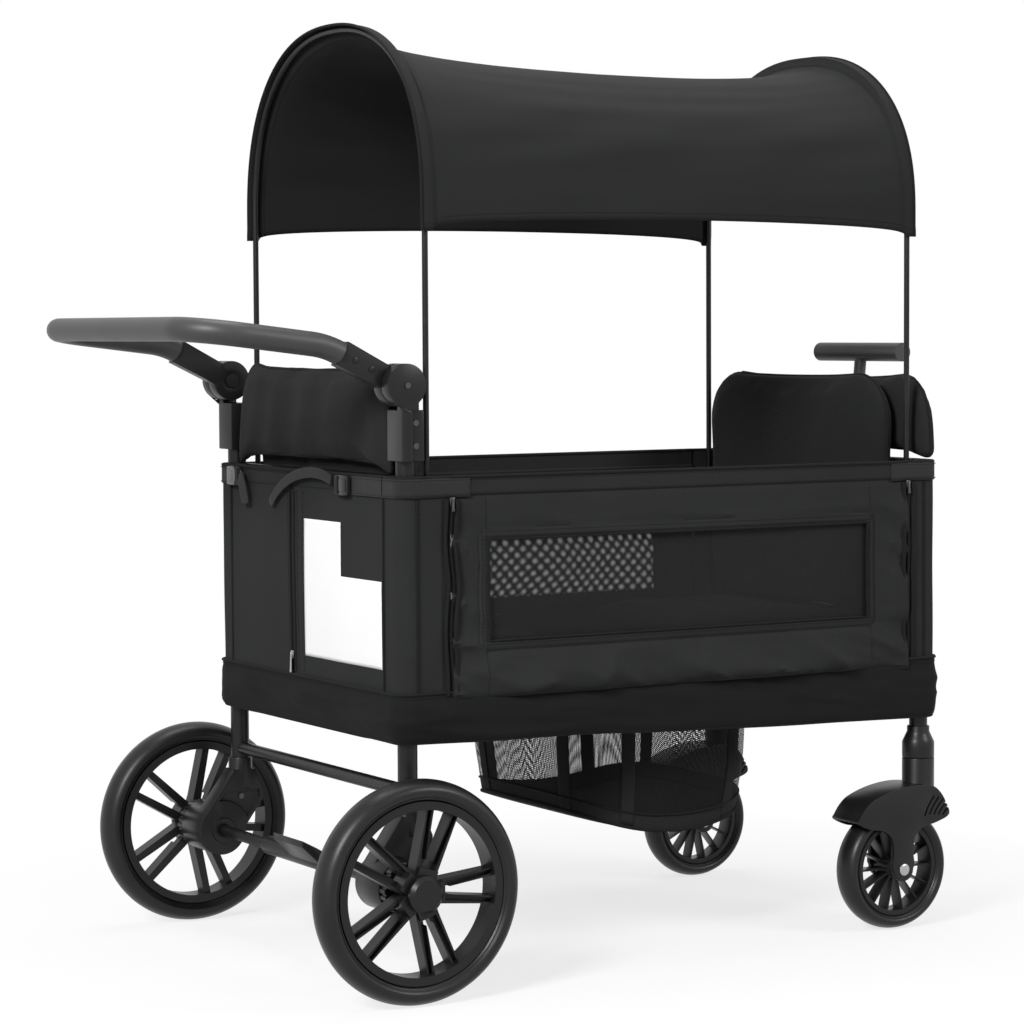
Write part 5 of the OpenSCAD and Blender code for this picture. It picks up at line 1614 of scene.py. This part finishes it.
@dataclass
class Footwell:
    """Cloth floor and the net footwell that hangs from it."""

    shop: Workshop
    centre: float = PLACES.rear_x + 0.465
    half_long: float = 0.150
    half_wide: float = 0.200
    floor: float = 0.324
    end_low: float = 0.190
    middle_low: float = 0.160
    taper: float = 0.93
    power: float = 4.0
    steps: int = 144
    edge: float = 0.86
    strip: float = 0.030
    floor_round: float = 0.118
    floor_past: float = 0.018

    def ring(self, u: float, grow: float = 0.0) -> tuple[float, float]:
        """Rounded outline of the well at a share of a turn."""
        c, s, p = math.cos(2 * math.pi * u), math.sin(2 * math.pi * u), 2 / self.power
        return (self.half_long + grow) * shoulder(c, p), (self.half_wide + grow) * shoulder(s, p)

    def low(self, x: float) -> float:
        """Height of the well's bottom at a distance along X from its middle."""
        return self.middle_low + (self.end_low - self.middle_low) * (x / self.half_long) ** 2

    def point(self, u: float, depth: float, lift: float = 0.0) -> Vector:
        """Place on the well's wall.

        Args:
            u: Share of a turn.
            depth: Share of the way down.
            lift: Distance outwards from the net.

        Returns:
            The point.
        """
        x, y = self.ring(u, lift)
        k = 1 - (1 - self.taper) * depth
        sway = math.sin(math.pi * depth) * 0.004 * ripple((x * 9, y * 9, depth * 2), 5.0)
        size = 1 + (0.006 * math.sin(math.pi * depth) + sway) / 0.17 * 0.6
        return Vector((self.centre + x * k * size, y * k * size, self.floor + (self.low(x) - self.floor) * depth))

    def build(self) -> None:
        """Floor, net wall, solid bottom, strips and piping."""
        tall = self.floor - (self.end_low + self.middle_low) / 2
        half_way = [self.point(u, 0.5) for u in spread(0.0, 1.0, 200)]
        girth = sum((b - a).length for a, b in zip(half_way, half_way[1:]))
        edge = self.edge
        net = Shaper.sheet(self.steps, 18, lambda u, v: self.point(u, v * edge), (girth, tall * edge))
        bmesh.ops.remove_doubles(net, verts=net.verts, dist=SEWING.weld)
        mesh = self.shop.place("footwell_net", net, "well_net", "net", "rear_frame", ("footwell",))
        pieces = [mesh, self.bottom(), self.ground(), *self.strips(girth)]
        rims = [Shaper.tube([self.point(i / 96, d, 0.0008) for i in range(96)], r, closed=True)
                for d, r in ((0.0, 0.003), (edge, 0.0018), (1.0, 0.0026))]
        pieces.append(self.shop.trim("footwell_piping", Shaper.join(rims), "rear_frame"))
        for piece in pieces:
            PLACES.keep(PLACES.rear_x, PLACES.front_x)
            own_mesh(piece)

    def bottom(self) -> Piece:
        """Solid band and bottom of the well.

        Returns:
            The bottom.
        """
        band = 0.3

        def place(u: float, v: float) -> Vector:
            """Band for the first third, then in to the middle of the bottom.

            Args:
                u: Share of a turn.
                v: Share of the way in.

            Returns:
                The point.
            """
            if v <= band:
                return self.point(u, self.edge + (1 - self.edge) * v / band, 0.0004)
            rim = self.point(u, 1.0, 0.0004)
            share = (v - band) / (1 - band)
            spot = rim.lerp(Vector((self.centre, 0.0, rim.z)), share)
            sag = 0.002 * math.sin(math.pi * min(share * 1.4, 1.0))
            return Vector((spot.x, spot.y, self.low(spot.x - self.centre) - sag))

        bm = Shaper.sheet(self.steps, 30, place, (1.3, 0.22))
        bmesh.ops.remove_doubles(bm, verts=bm.verts, dist=SEWING.weld)
        base = self.shop.place("footwell_bottom", bm, "tub_cloth", "tub_fabric", "rear_frame", wall=SEWING.cloth)
        return base

    def ground(self) -> Piece:
        """Cloth floor of the tub round the well.

        Returns:
            The floor.
        """
        c, past = self.floor_round, self.floor_past
        x0, x1, y1 = PLACES.rear_x - past, PLACES.front_x + past, PLACES.post_y + past
        mid, half = Vector(((x0 + x1) / 2, 0.0)), Vector(((x1 - x0) / 2, y1))

        def place(u: float, v: float) -> Vector:
            """From the well's rim out to the rounded edge of the floor.

            Args:
                u: Share of a turn.
                v: Share of the way out.

            Returns:
                The point.
            """
            a = self.point(u, 0.0)
            turn = 2 * math.pi * u
            way = Vector((math.cos(turn), math.sin(turn)))
            p = 0.24
            b = Vector((mid.x + half.x * shoulder(way.x, p), half.y * shoulder(way.y, p)))
            inner = Vector((min(max(b.x, x0 + c), x1 - c), min(max(b.y, -y1 + c), y1 - c)))
            over = b - inner
            if over.length > c:
                b = inner + over.normalized() * c
            sag = 0.0012 * ripple((b.x * 8, b.y * 8, v), 1.1) * math.sin(math.pi * v)
            return Vector((a.x + (b.x - a.x) * v, a.y + (b.y - a.y) * v, self.floor - 0.0005 + min(sag, 0.0)))

        bm = Shaper.sheet(self.steps, 12, place, (2.2, 0.25))
        bmesh.ops.remove_doubles(bm, verts=bm.verts, dist=SEWING.weld)
        if sum(f.normal.z * f.calc_area() for f in bm.faces) < 0:
            bmesh.ops.reverse_faces(bm, faces=bm.faces)
        floor = self.shop.place("tub_floor", bm, "tub_cloth", "tub_fabric", "rear_frame", wall=0.0018, turn=False)
        return floor

    def strips(self, girth: float) -> list[Piece]:
        """Cloth strips that carry the net down to the bottom.

        Args:
            girth: Length round the well.

        Returns:
            The strips.
        """
        wide = self.strip / girth
        made = []
        turns = {0: 0.055, 2: 0.195, 3: 0.305, 5: 0.445, 6: 0.555, 8: 0.695, 9: 0.805, 11: 0.945}
        for i, u in turns.items():
            bm = Shaper.sheet(6, 20, lambda a, b: self.point(u + wide * (a - 0.5), b * 0.985, 0.0012),
                              (self.strip, 0.15))
            strip = self.shop.place(f"footwell_strip_{i}", bm, "tub_cloth", "tub_fabric", "rear_frame", wall=0.0009)
            made.append(strip)
        return made


class Facing(Enum):
    """Axis along which a cushion is thick."""

    ALONG = 0
    UP = 2


@dataclass
class Cushion:
    """Padded cushion, blown up by cloth simulation and then sewn round."""

    shop: Workshop
    name: str
    body: str
    low: Vector
    high: Vector
    facing: Facing
    round_off: float = 0.045
    fill: float = 0.7
    cap: float = 0.011
    draw: float = 0.004
    folds: float = 0.0
    seed: float = 1.0
    voxel: float = 0.006
    channels: tuple[float, ...] = ()
    square_low: bool = False
    narrow: float = 0.0
    pressure: float = 4.0
    stiffness: float = 18.0
    frames: int = 20

    def start(self) -> Mesh:
        """Slab a little smaller than the cushion, with round corners.

        Returns:
            The slab.
        """
        thin = Vector([0.006 if i == self.facing.value else 0.005 for i in range(3)])
        low, high = self.low + thin, self.high - thin
        bm = bmesh.new()
        Shaper.cube(bm, (low + high) / 2, high - low)
        axis = self.facing.value
        tall = [e for e in bm.edges if abs((e.verts[0].co - e.verts[1].co)[axis]) > 1e-5]
        if self.square_low:
            tall = [e for e in tall if e.verts[0].co.z > (low.z + high.z) / 2]
        Shaper.bevel(bm, tall, self.round_off, 8)
        rims = [e for e in bm.edges if len(e.link_faces) == 2 and e.calc_face_angle(0.0) > 1.2]
        Shaper.bevel(bm, rims, (high - low)[axis] * 0.34, 4)
        return bm

    def blow(self) -> Mesh:
        """Remeshes the slab, fills it with pressure and keeps the result.

        Returns:
            The blown pad.
        """
        mesh = meshed("pad", self.start())
        pad = stand("pad", mesh)
        scene = bpy.context.scene
        grid = pad.modifiers.new("grid", "REMESH")
        grid.mode, grid.voxel_size = "VOXEL", self.voxel
        bpy.context.view_layer.update()
        fine = settled(pad)
        pad.modifiers.clear()
        pad.data = fine
        rest = [v.co.copy() for v in fine.vertices]
        air = pad.modifiers.new("air", "CLOTH")
        air.settings.use_pressure, air.settings.uniform_pressure_force = True, self.pressure
        air.settings.quality, air.settings.mass = 5, 0.3
        air.settings.effector_weights.gravity = 0.0
        air.settings.tension_stiffness = air.settings.compression_stiffness = self.stiffness
        scene.frame_start, scene.frame_end = 1, self.frames
        for step in range(1, self.frames + 1):
            scene.frame_set(step)
        blown = settled(pad)
        moved = [v.co.copy() for v in blown.vertices]
        bpy.data.meshes.remove(blown)
        scene.frame_set(1)
        bm = bmesh.new()
        bm.from_mesh(fine)
        for vert, a, b in zip(bm.verts, rest, moved):
            step = b - a
            vert.co = a + step * min(1.0, self.cap / max(step.length, 1e-9))
        bpy.data.objects.remove(pad)
        bpy.data.meshes.remove(mesh)
        bpy.data.meshes.remove(fine)
        return bm

    def sew(self, bm: Mesh) -> None:
        """Fits the pad to its place, draws its sides in and folds its face.

        Args:
            bm: The blown pad.
        """
        axis = self.facing.value
        flat = [i for i in range(3) if i != axis]
        now_low = Vector([min(v.co[i] for v in bm.verts) for i in range(3)])
        now_high = Vector([max(v.co[i] for v in bm.verts) for i in range(3)])
        middle, half = (self.low + self.high) / 2, (self.high - self.low) / 2
        for vert in bm.verts:
            share = Vector([2 * (vert.co[i] - now_low[i]) / (now_high[i] - now_low[i]) - 1 for i in range(3)])
            co = middle + Vector([share[i] * half[i] for i in range(3)])
            for i, j in (flat, flat[::-1]):
                co[i] -= math.copysign(self.draw * (1 - share[j] ** 2) * max(abs(share[i]) - 0.5, 0.0) * 2, share[i])
            co.y *= 1 - self.narrow * ((share.z + 1) / 2) ** 1.5
            spot = Vector((co.x * 12, co.y * 12, 0))
            if self.facing is Facing.ALONG:
                spot = Vector((co.x * 3, co.y * 18 + co.z * 6, co.z * 5))
            inside = 1 - max(abs(share[flat[0]]), abs(share[flat[1]])) ** 6
            co[axis] += self.folds * ripple(spot, self.seed) * inside
            for place in self.channels:
                dent = bell(co[flat[0]] - place, 0.006) * (1 - abs(share[flat[1]]) ** 8)
                co[axis] -= math.copysign(0.006 * dent * min(abs(share[axis]) * 2, 1.0), share[axis])
            vert.co = co
        bmesh.ops.smooth_vert(bm, verts=bm.verts, factor=0.4, use_axis_x=True, use_axis_y=True, use_axis_z=True)

    def build(self, replaces: Sequence[str]) -> Piece:
        """Pad with its piping.

        Args:
            replaces: Nodes of the part that the pad stands for.

        Returns:
            The pad.
        """
        bm = self.blow()
        self.sew(bm)
        tree = BVHTree.FromBMesh(bm)
        pad = self.shop.place(self.name, bm, "pad_cloth", "cushion_fabric", self.body, replaces, smooth=1, edge=180.0)
        axis = self.facing.value
        flat = [i for i in range(3) if i != axis]
        middle = (self.low + self.high) / 2
        line, count = [], 160
        for i in range(count):
            way, turn = Vector((0, 0, 0)), 2 * math.pi * i / count
            way[flat[0]], way[flat[1]] = math.cos(turn), math.sin(turn)
            hit = tree.ray_cast(middle + way * 1.5, -way)[0]
            if hit is not None:
                line.append(hit)
        self.shop.trim(self.name + "_piping", Shaper.tube(line, 0.0024, closed=True), self.body,
                       "cushion_fabric")
        return pad


@dataclass
class Straps:
    """Belts round the corners, their buckles and loose tails."""

    shop: Workshop
    radius: float = 0.0222
    height: float = 0.6545
    width: float = 0.025
    left_buckle: float = 0.205
    right_buckle: float = -0.128
    front_flap: float = 0.058
    past_zip: float = 0.029

    def corner(self, end: End, side: int, flap: float, lap: float) -> Line:
        """Line of a belt round a corner, from its edge on the end wall.

        Args:
            end: Rear or front.
            side: 1 on the left, -1 on the right.
            flap: Length on the end wall.
            lap: Length on the side wall.

        Returns:
            The line.
        """
        line = [Vector((-self.radius, -flap * (1 - i / 12), 0)) for i in range(12)]
        line += [Vector((self.radius * math.cos(a), self.radius * math.sin(a), 0))
                 for a in spread(math.pi, math.pi / 2, 10)]
        line += [Vector((lap * i / 14, self.radius, 0)) for i in range(1, 15)]
        made = []
        for p in line:
            wave = 0.0007 * ripple((p.x * 30, p.y * 30, side), 3.0)
            made.append(Vector((end.post_x + end.way * p.x, side * (PLACES.post_y + p.y), self.height + wave)))
        return made

    def build(self) -> None:
        """Belts, buckles and tails."""
        up = Vector((0, 0, 1))
        for end in End:
            flaps = {1: self.front_flap, -1: self.front_flap}
            if end is End.REAR:
                flaps = {1: PLACES.post_y - self.left_buckle, -1: PLACES.post_y + self.right_buckle}
            belts, rows = [], []
            for side, flap in flaps.items():
                line = self.corner(end, side, flap, end.lap + self.past_zip)
                belts.append(Shaper.strap(line, [up] * len(line), self.width))
                post = Vector((end.post_x, side * PLACES.post_y, 0))
                outs = [Vector((p.x - post.x, p.y - post.y, 0)).normalized() * 0.0012 for p in line]
                rows += [[p + up * d + out for p, out in zip(line, outs)] for d in (0.0102, -0.0102)]
            self.shop.place(f"{end.word}_corner_belts", Shaper.join(belts), "strap", "webbing", end.body,
                            (f"{end.word}_belts",), wall=SEWING.cloth)
            self.shop.trim(f"{end.word}_belt_stitches", Shaper.stitches(rows), end.body, "webbing")
        self.buckles()
        self.tails()

    def buckle(self, y: float, way: int) -> list[Mesh]:
        """Side-release buckle: a shell with windows, the tongue's arms and a bar for the strap.

        Args:
            y: Middle of the buckle.
            way: Direction of the tongue along Y.

        Returns:
            Its shapes.
        """
        x, z = PLACES.rear_x - 0.0243, self.height

        def line(out: float, *places: tuple[float, float]) -> Line:
            """Points at a distance outwards, by distance along the strap and height."""
            return [Vector((x - out, y + way * a, z + h)) for a, h in places]

        def plate(outline: Line, thick: float, radius: float) -> Mesh:
            """Outline drawn outwards."""
            return Shaper.plate(outline, Vector((-thick, 0, 0)), radius)

        half = ((-0.018, -0.0125), (-0.006, -0.0135), (0.004, -0.0135), (0.004, -0.0085), (0.007, -0.0075))
        shell = plate(line(0.0, *half, *((a, -h) for a, h in reversed(half))), 0.0064, 0.0011)
        ridge = plate(line(0.0062, (-0.015, -0.0085), (0.001, -0.0075), (0.001, 0.0075), (-0.015, 0.0085)),
                      0.0012, 0.0008)
        arms = [plate(line(0.0008, (-0.001, s * 0.0102), (0.008, s * 0.0095), (0.008, s * 0.0128), (0.0, s * 0.0139)),
                      0.0046, 0.0008) for s in (1, -1)]
        tongue = plate(line(0.0, (0.0082, -0.0128), (0.019, -0.0128), (0.019, 0.0128), (0.0082, 0.0128)),
                       0.0052, 0.0012)
        bars = [Shaper.tube(line(0.0058, (a, -0.0118), (a, 0.0118)), 0.0015, sides=3) for a in (0.0115, 0.0158)]
        return [shell, ridge, *arms, tongue, *bars]

    def buckles(self) -> None:
        """Both buckles of the rear wall; the left one's shell and ridge are painted pale grey, a painted highlight."""
        left, right = self.buckle(self.left_buckle, -1), self.buckle(self.right_buckle, 1)
        self.shop.place("belt_buckles", Shaper.join(left[2:] + right), "gloss_plastic", "black_plastic", "rear_frame",
                        ("rear_buckles",))
        # The left buckle's shell and ridge take the pale grey painted highlight.
        self.shop.place("buckle_shell", Shaper.join(left[:2]), "highlight_grey_plastic", "black_plastic", "rear_frame")

    def tails(self) -> None:
        """Loose ends of the straps below the buckles."""
        near = [(0.0299, -0.100, 0.659), (0.0310, -0.085, 0.665), (0.0314, -0.065, 0.668), (0.0314, -0.043, 0.6685),
                (0.0312, -0.020, 0.667), (0.0309, 0.004, 0.663), (0.0306, 0.026, 0.657), (0.0303, 0.046, 0.649),
                (0.0300, 0.063, 0.640), (0.0297, 0.077, 0.630), (0.0294, 0.088, 0.619)]
        far = [(0.0304, 0.184, 0.656), (0.0318, 0.177, 0.652), (0.0324, 0.171, 0.645), (0.0322, 0.167, 0.636),
               (0.0314, 0.165, 0.626), (0.0304, 0.164, 0.616)]
        near, far = ([Vector((PLACES.rear_x - out, y, z)) for out, y, z in line] for line in (near, far))
        tapes = []
        for line, wide in ((near, 0.015), (far, 0.024)):
            sides = [Vector((1, 0, 0)).cross((b - a).normalized()).normalized() for a, b in zip(line, line[1:])]
            tapes.append(Shaper.strap(line, [*sides, sides[-1]], wide))
        self.shop.place("strap_tails", Shaper.join(tapes), "strap", "webbing", "rear_frame", wall=0.0014, smooth=1)


@dataclass
class Cushions:
    """The seats, the backrests and the panels above the end rails."""

    shop: Workshop
    back_half: float = 0.22
    panel_half: float = 0.2312
    rail_top: float = 0.6716
    rail_in: float = 0.007
    channel: float = 0.137
    gap: float = 0.0006

    def build(self) -> None:
        """Each cushion in the room of its own node."""
        rear_low, rear_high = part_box("rear_seat")
        front_low, front_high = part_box("front_seat")
        back_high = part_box("rear_backrest")[1]
        head_low, head_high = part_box("front_backrest")
        rear_rail, front_rail = PLACES.rear_x + self.rail_in, PLACES.front_x - self.rail_in
        gap = self.gap
        Cushion(self.shop, "rear_seat_pad", "rear_frame", rear_low, rear_high, Facing.UP, round_off=0.03,
                folds=0.003, seed=2.0, channels=(PLACES.rear_x + self.channel,)).build(("rear_seat",))
        Cushion(self.shop, "front_seat_pad", "front_frame", front_low, front_high, Facing.UP, round_off=0.03,
                folds=0.003, seed=3.0, channels=(PLACES.front_x - self.channel,)).build(("front_seat",))
        Cushion(self.shop, "rear_back_pad", "rear_frame", Vector((rear_rail + gap, -self.back_half, head_low.z)),
                Vector((back_high.x, self.back_half, back_high.z - 0.012)), Facing.ALONG, round_off=0.05,
                folds=0.005, draw=0.008, seed=4.0).build(("rear_backrest",))
        Cushion(self.shop, "rear_back_panel", "rear_frame",
                Vector((rear_rail - 0.0256, -self.panel_half, self.rail_top)),
                Vector((rear_rail - gap, self.panel_half, back_high.z)), Facing.ALONG, round_off=0.045, folds=0.006,
                draw=0.002, seed=7.0, square_low=True, narrow=0.13).build(())
        Cushion(self.shop, "front_back_pad", "front_frame", Vector((head_low.x, -self.back_half, head_low.z)),
                Vector((front_rail - gap, self.back_half, head_high.z)), Facing.ALONG, round_off=0.07, folds=0.004,
                seed=5.0).build(("front_backrest",))
        Cushion(self.shop, "headrest_panel", "front_frame", Vector((front_rail + gap, head_low.y, self.rail_top)),
                head_high, Facing.ALONG, round_off=0.075, folds=0.003, seed=6.0, square_low=True).build(())


@dataclass
class Handle:
    """Foam grip of the push handle: a bend and a corner on each side of the cross bar."""

    shop: Workshop
    pivot: tuple[float, float] = (PLACES.rear_x - 0.012, 0.788)
    arm: float = 0.092
    climb: float = math.radians(27)
    tilt: float = math.radians(7)
    bend: float = 0.12
    straight: float = 0.0945
    corner: float = 0.066
    half: float = 0.251
    radius: float = 0.0158

    def build(self) -> None:
        """One smooth tube from arm to arm."""
        middle = Vector((self.pivot[0] - self.arm * math.cos(self.climb) - self.bend * math.sin(self.climb), self.half,
                         self.pivot[1] + self.arm * math.sin(self.climb) - self.bend * math.cos(self.climb)))
        way = Vector((-math.cos(self.tilt), 0.0, math.sin(self.tilt)))
        left = [middle + self.bend * Vector((math.sin(a), 0.0, math.cos(a)))
                for a in spread(self.climb, self.tilt, 24)]
        start = left[-1] + way * self.straight
        left += [start + way * (self.corner * math.sin(a)) - Vector((0.0, self.corner * (1 - math.cos(a)), 0.0))
                 for a in spread(0.0, math.pi / 2, 24)]
        right = [Vector((p.x, -p.y, p.z)) for p in reversed(left)]
        grip = Shaper.tube(left + right, self.radius, sides=8)
        self.shop.place("foam_grip", grip, "foam", self.shop.slots["handle_bar"], self.shop.bodies["handle_bar"],
                        ("handle_bar",))


@dataclass
class Wheels:
    """Tyres of the rear wheels and of the casters."""

    shop: Workshop
    rear_bore: float = 0.118
    rear_reach: float = 0.145
    rear_wide: float = 0.046
    caster_bore: float = 0.068
    caster_reach: float = 0.088
    caster_wide: float = 0.042
    seat: float = 0.0145
    section: tuple[tuple[float, float], ...] = (
        (0.10, 0.80), (0.15, 0.83), (0.17, 0.815), (0.19, 0.83), (0.25, 0.925), (0.34, 0.982), (0.44, 1.0),
        (0.55, 0.985), (0.66, 0.925), (0.76, 0.82), (0.85, 0.67), (0.92, 0.50), (0.97, 0.30), (0.995, 0.12))

    def profile(self, bore: float, reach: float, wide: float) -> list[tuple[float, float]]:
        """Half-round section with a bead line by the rim.

        Args:
            bore: Inner radius.
            reach: Outer radius.
            wide: Width of the tyre.

        Returns:
            Pairs of radius and offset along Y.
        """
        h, w = reach - bore, wide / 2
        half = [(bore, self.seat * 0.96), (bore + 0.0012, self.seat)]
        half += [(bore + up * h, w * out) for up, out in self.section]
        return half + [(reach, 0.0)] + [(r, -y) for r, y in reversed(half)]

    def build(self) -> None:
        """All four tyres."""
        for _, word in SIDES:
            for kind, size in (("rear", (self.rear_bore, self.rear_reach, self.rear_wide)),
                               ("caster", (self.caster_bore, self.caster_reach, self.caster_wide))):
                tyre = f"{kind}_tyre_{word}"
                low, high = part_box(tyre)
                bm = Shaper.lathe(self.profile(*size), 144, (low + high) / 2)
                self.shop.place(tyre + ".round", bm, "rubber", "tyre_rubber", f"{kind}_wheel_{word}", (tyre,),
                                edge=50.0)


@dataclass
class Hardware:
    """Rigid pieces that keep their solids' shapes, with rounded edges."""

    shop: Workshop
    moulded: tuple[tuple[str, float], ...] = (
        ("rear_brackets", 0.0014), ("handle_clamps", 0.0014), ("handle_arms", 0.0010), ("brake_pedal", 0.0010),
        ("pull_base", 0.0010), ("caster_housings", 0.0010), ("rear_collars", 0.0006), ("front_collars", 0.0006),
        ("rear_sockets", 0.0008), ("front_sockets", 0.0008),
        ("caster_rim_left", 0.0005), ("caster_rim_right", 0.0005),
        ("caster_fork_left", 0.0009), ("caster_fork_right", 0.0009))
    cap: tuple[tuple[float, float], ...] = (
        (0.0084, 0.0310), (0.0084, 0.0328), (0.0076, 0.0336), (0.0052, 0.0342), (0.0003, 0.0344), (0.0003, 0.0310))

    def build(self) -> None:
        """Rounded copies of the moulded nodes, and bright caps on the caster bolts."""
        for node, radius in self.moulded:
            self.shop.soften(node, radius, inner=node != "handle_arms")
        for _, word in SIDES:
            low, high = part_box(f"caster_tyre_{word}")
            caps = [Shaper.lathe([(r, way * y) for r, y in self.cap], 48, (low + high) / 2) for way in (1, -1)]
            self.shop.place(f"caster_bolt_caps_{word}", Shaper.join(caps), "plated", "steel",
                            self.shop.bodies[f"caster_fork_{word}"])


@dataclass
class Studio:
    """Floor, light and camera."""

    floor: float = 6.0
    dim: float = 0.2
    paper: float = 0.93
    bounce: float = 0.35
    glow: float = 0.75
    near: float = 0.45
    far: float = 1.1
    eye: tuple[float, float, float] = (-2.2103, -3.7392, 0.8604)
    aim: tuple[float, float, float] = (-0.5328, 0.0597, -0.0053)
    focal_px: float = 3074.81
    frame_px: float = 1024.0
    sensor: float = 36.0

    def build(self) -> None:
        """Sets up everything that isn't the wagon."""
        self.ground()
        self.sky()
        self.lamps()
        self.camera()

    def ground(self) -> None:
        """Pale round floor that fades into the white background."""
        bm = bmesh.new()
        bmesh.ops.create_circle(bm, cap_ends=True, radius=self.floor, segments=96,
                                matrix=Matrix.Translation((PLACES.middle, 0.0, -0.0004)))
        mesh = meshed("studio_floor", bm)
        plane = stand("studio_floor", mesh)
        g = Graph("studio_paper")
        x, y, _ = g.axes(g.coords(Coords.OBJECT))
        reach = ((x - PLACES.middle) * (x - PLACES.middle) + y * y) ** 0.5
        seen = self.seen(g)
        dull, clear = (g.node("ShaderNodeBsdfDiffuse", None, {"Color": shade(level)})
                       for level in (self.bounce, self.paper))
        paper = g.node("ShaderNodeMixShader", None, {0: seen, 1: dull, 2: clear})
        white = g.node("ShaderNodeEmission", None, {"Color": shade(1.0), "Strength": 1.0})
        fade = (self.glow + g.ramp(reach, self.near, self.far) * (1 - self.glow)) * seen
        mixed = g.node("ShaderNodeMixShader", None, {0: fade, 1: paper, 2: white})
        g.node("ShaderNodeOutputMaterial", None, {"Surface": mixed})
        mesh.materials.append(g.owner)

    @staticmethod
    def seen(g: Graph) -> Value:
        """One for rays that show the background: seen directly, mirrored or through glass."""
        rays = [g.node("ShaderNodeLightPath", output=f"Is {way} Ray") for way in ("Camera", "Glossy", "Transmission")]
        return rays[0].most(rays[1]).most(rays[2])

    def sky(self) -> None:
        """White for the camera and for reflections, soft grey as light."""
        g = Graph("studio_sky", sky=True)
        strength = self.dim + self.seen(g) * (1 - self.dim)
        back = g.node("ShaderNodeBackground", None, {"Color": shade(1.0), "Strength": strength})
        g.node("ShaderNodeOutputWorld", None, {"Surface": back})
        bpy.context.scene.world = g.owner

    def lamps(self) -> None:
        """Large soft lamps above and to the sides."""
        for name, place, target, size, power in (
                ("key", (-3.2, -2.0, 2.6), (0.1, 0.0, 0.7), 1.1, 175.0),
                ("fill", (2.2, -3.0, 2.6), (0.1, 0.0, 0.6), 1.3, 65.0),
                ("top", (0.1, 0.4, 3.7), (0.1, 0.0, 0.4), 1.5, 45.0)):
            data = bpy.data.lights.new(name, "AREA")
            data.size, data.energy = size, power
            lamp = stand(name, data)
            lamp.location = place
            lamp.rotation_euler = (Vector(target) - Vector(place)).to_track_quat("-Z", "Y").to_euler()

    def camera(self) -> None:
        """Camera at the photograph's viewing angle."""
        turn, pitch, roll = self.aim
        ahead = Vector((-math.sin(turn) * math.cos(pitch), math.cos(turn) * math.cos(pitch), -math.sin(pitch)))
        right = Vector((math.cos(turn), math.sin(turn), 0.0))
        up = right.cross(ahead)
        c, s = math.cos(roll), math.sin(roll)
        right, up = c * right + s * up, c * up - s * right
        data = bpy.data.cameras.new("camera")
        data.sensor_fit, data.sensor_width = "HORIZONTAL", self.sensor
        data.lens = self.sensor * self.focal_px / self.frame_px
        camera = stand("camera", data)
        camera.matrix_world = Matrix.Translation(self.eye) @ Matrix((right, up, -ahead)).transposed().to_4x4()
        bpy.context.scene.camera = camera


def main() -> None:
    """Builds the wagon's pieces in order and reports each one."""
    logging.basicConfig(level=logging.INFO, format="%(message)s")
    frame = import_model()
    Studio().build()
    shop = Workshop(frame)
    shop.dress()
    for piece in (Canopy(shop), SideWalls(shop), EndWalls(shop), CornerSleeves(shop), Skirt(shop), Footwell(shop),
                  Straps(shop), Cushions(shop), Handle(shop), Wheels(shop), Hardware(shop)):
        piece.build()
        LOG.info("%s done", type(piece).__name__)
    scene = bpy.context.scene
    scene.view_settings.view_transform = "Standard"


if __name__ == "__main__":
    main()
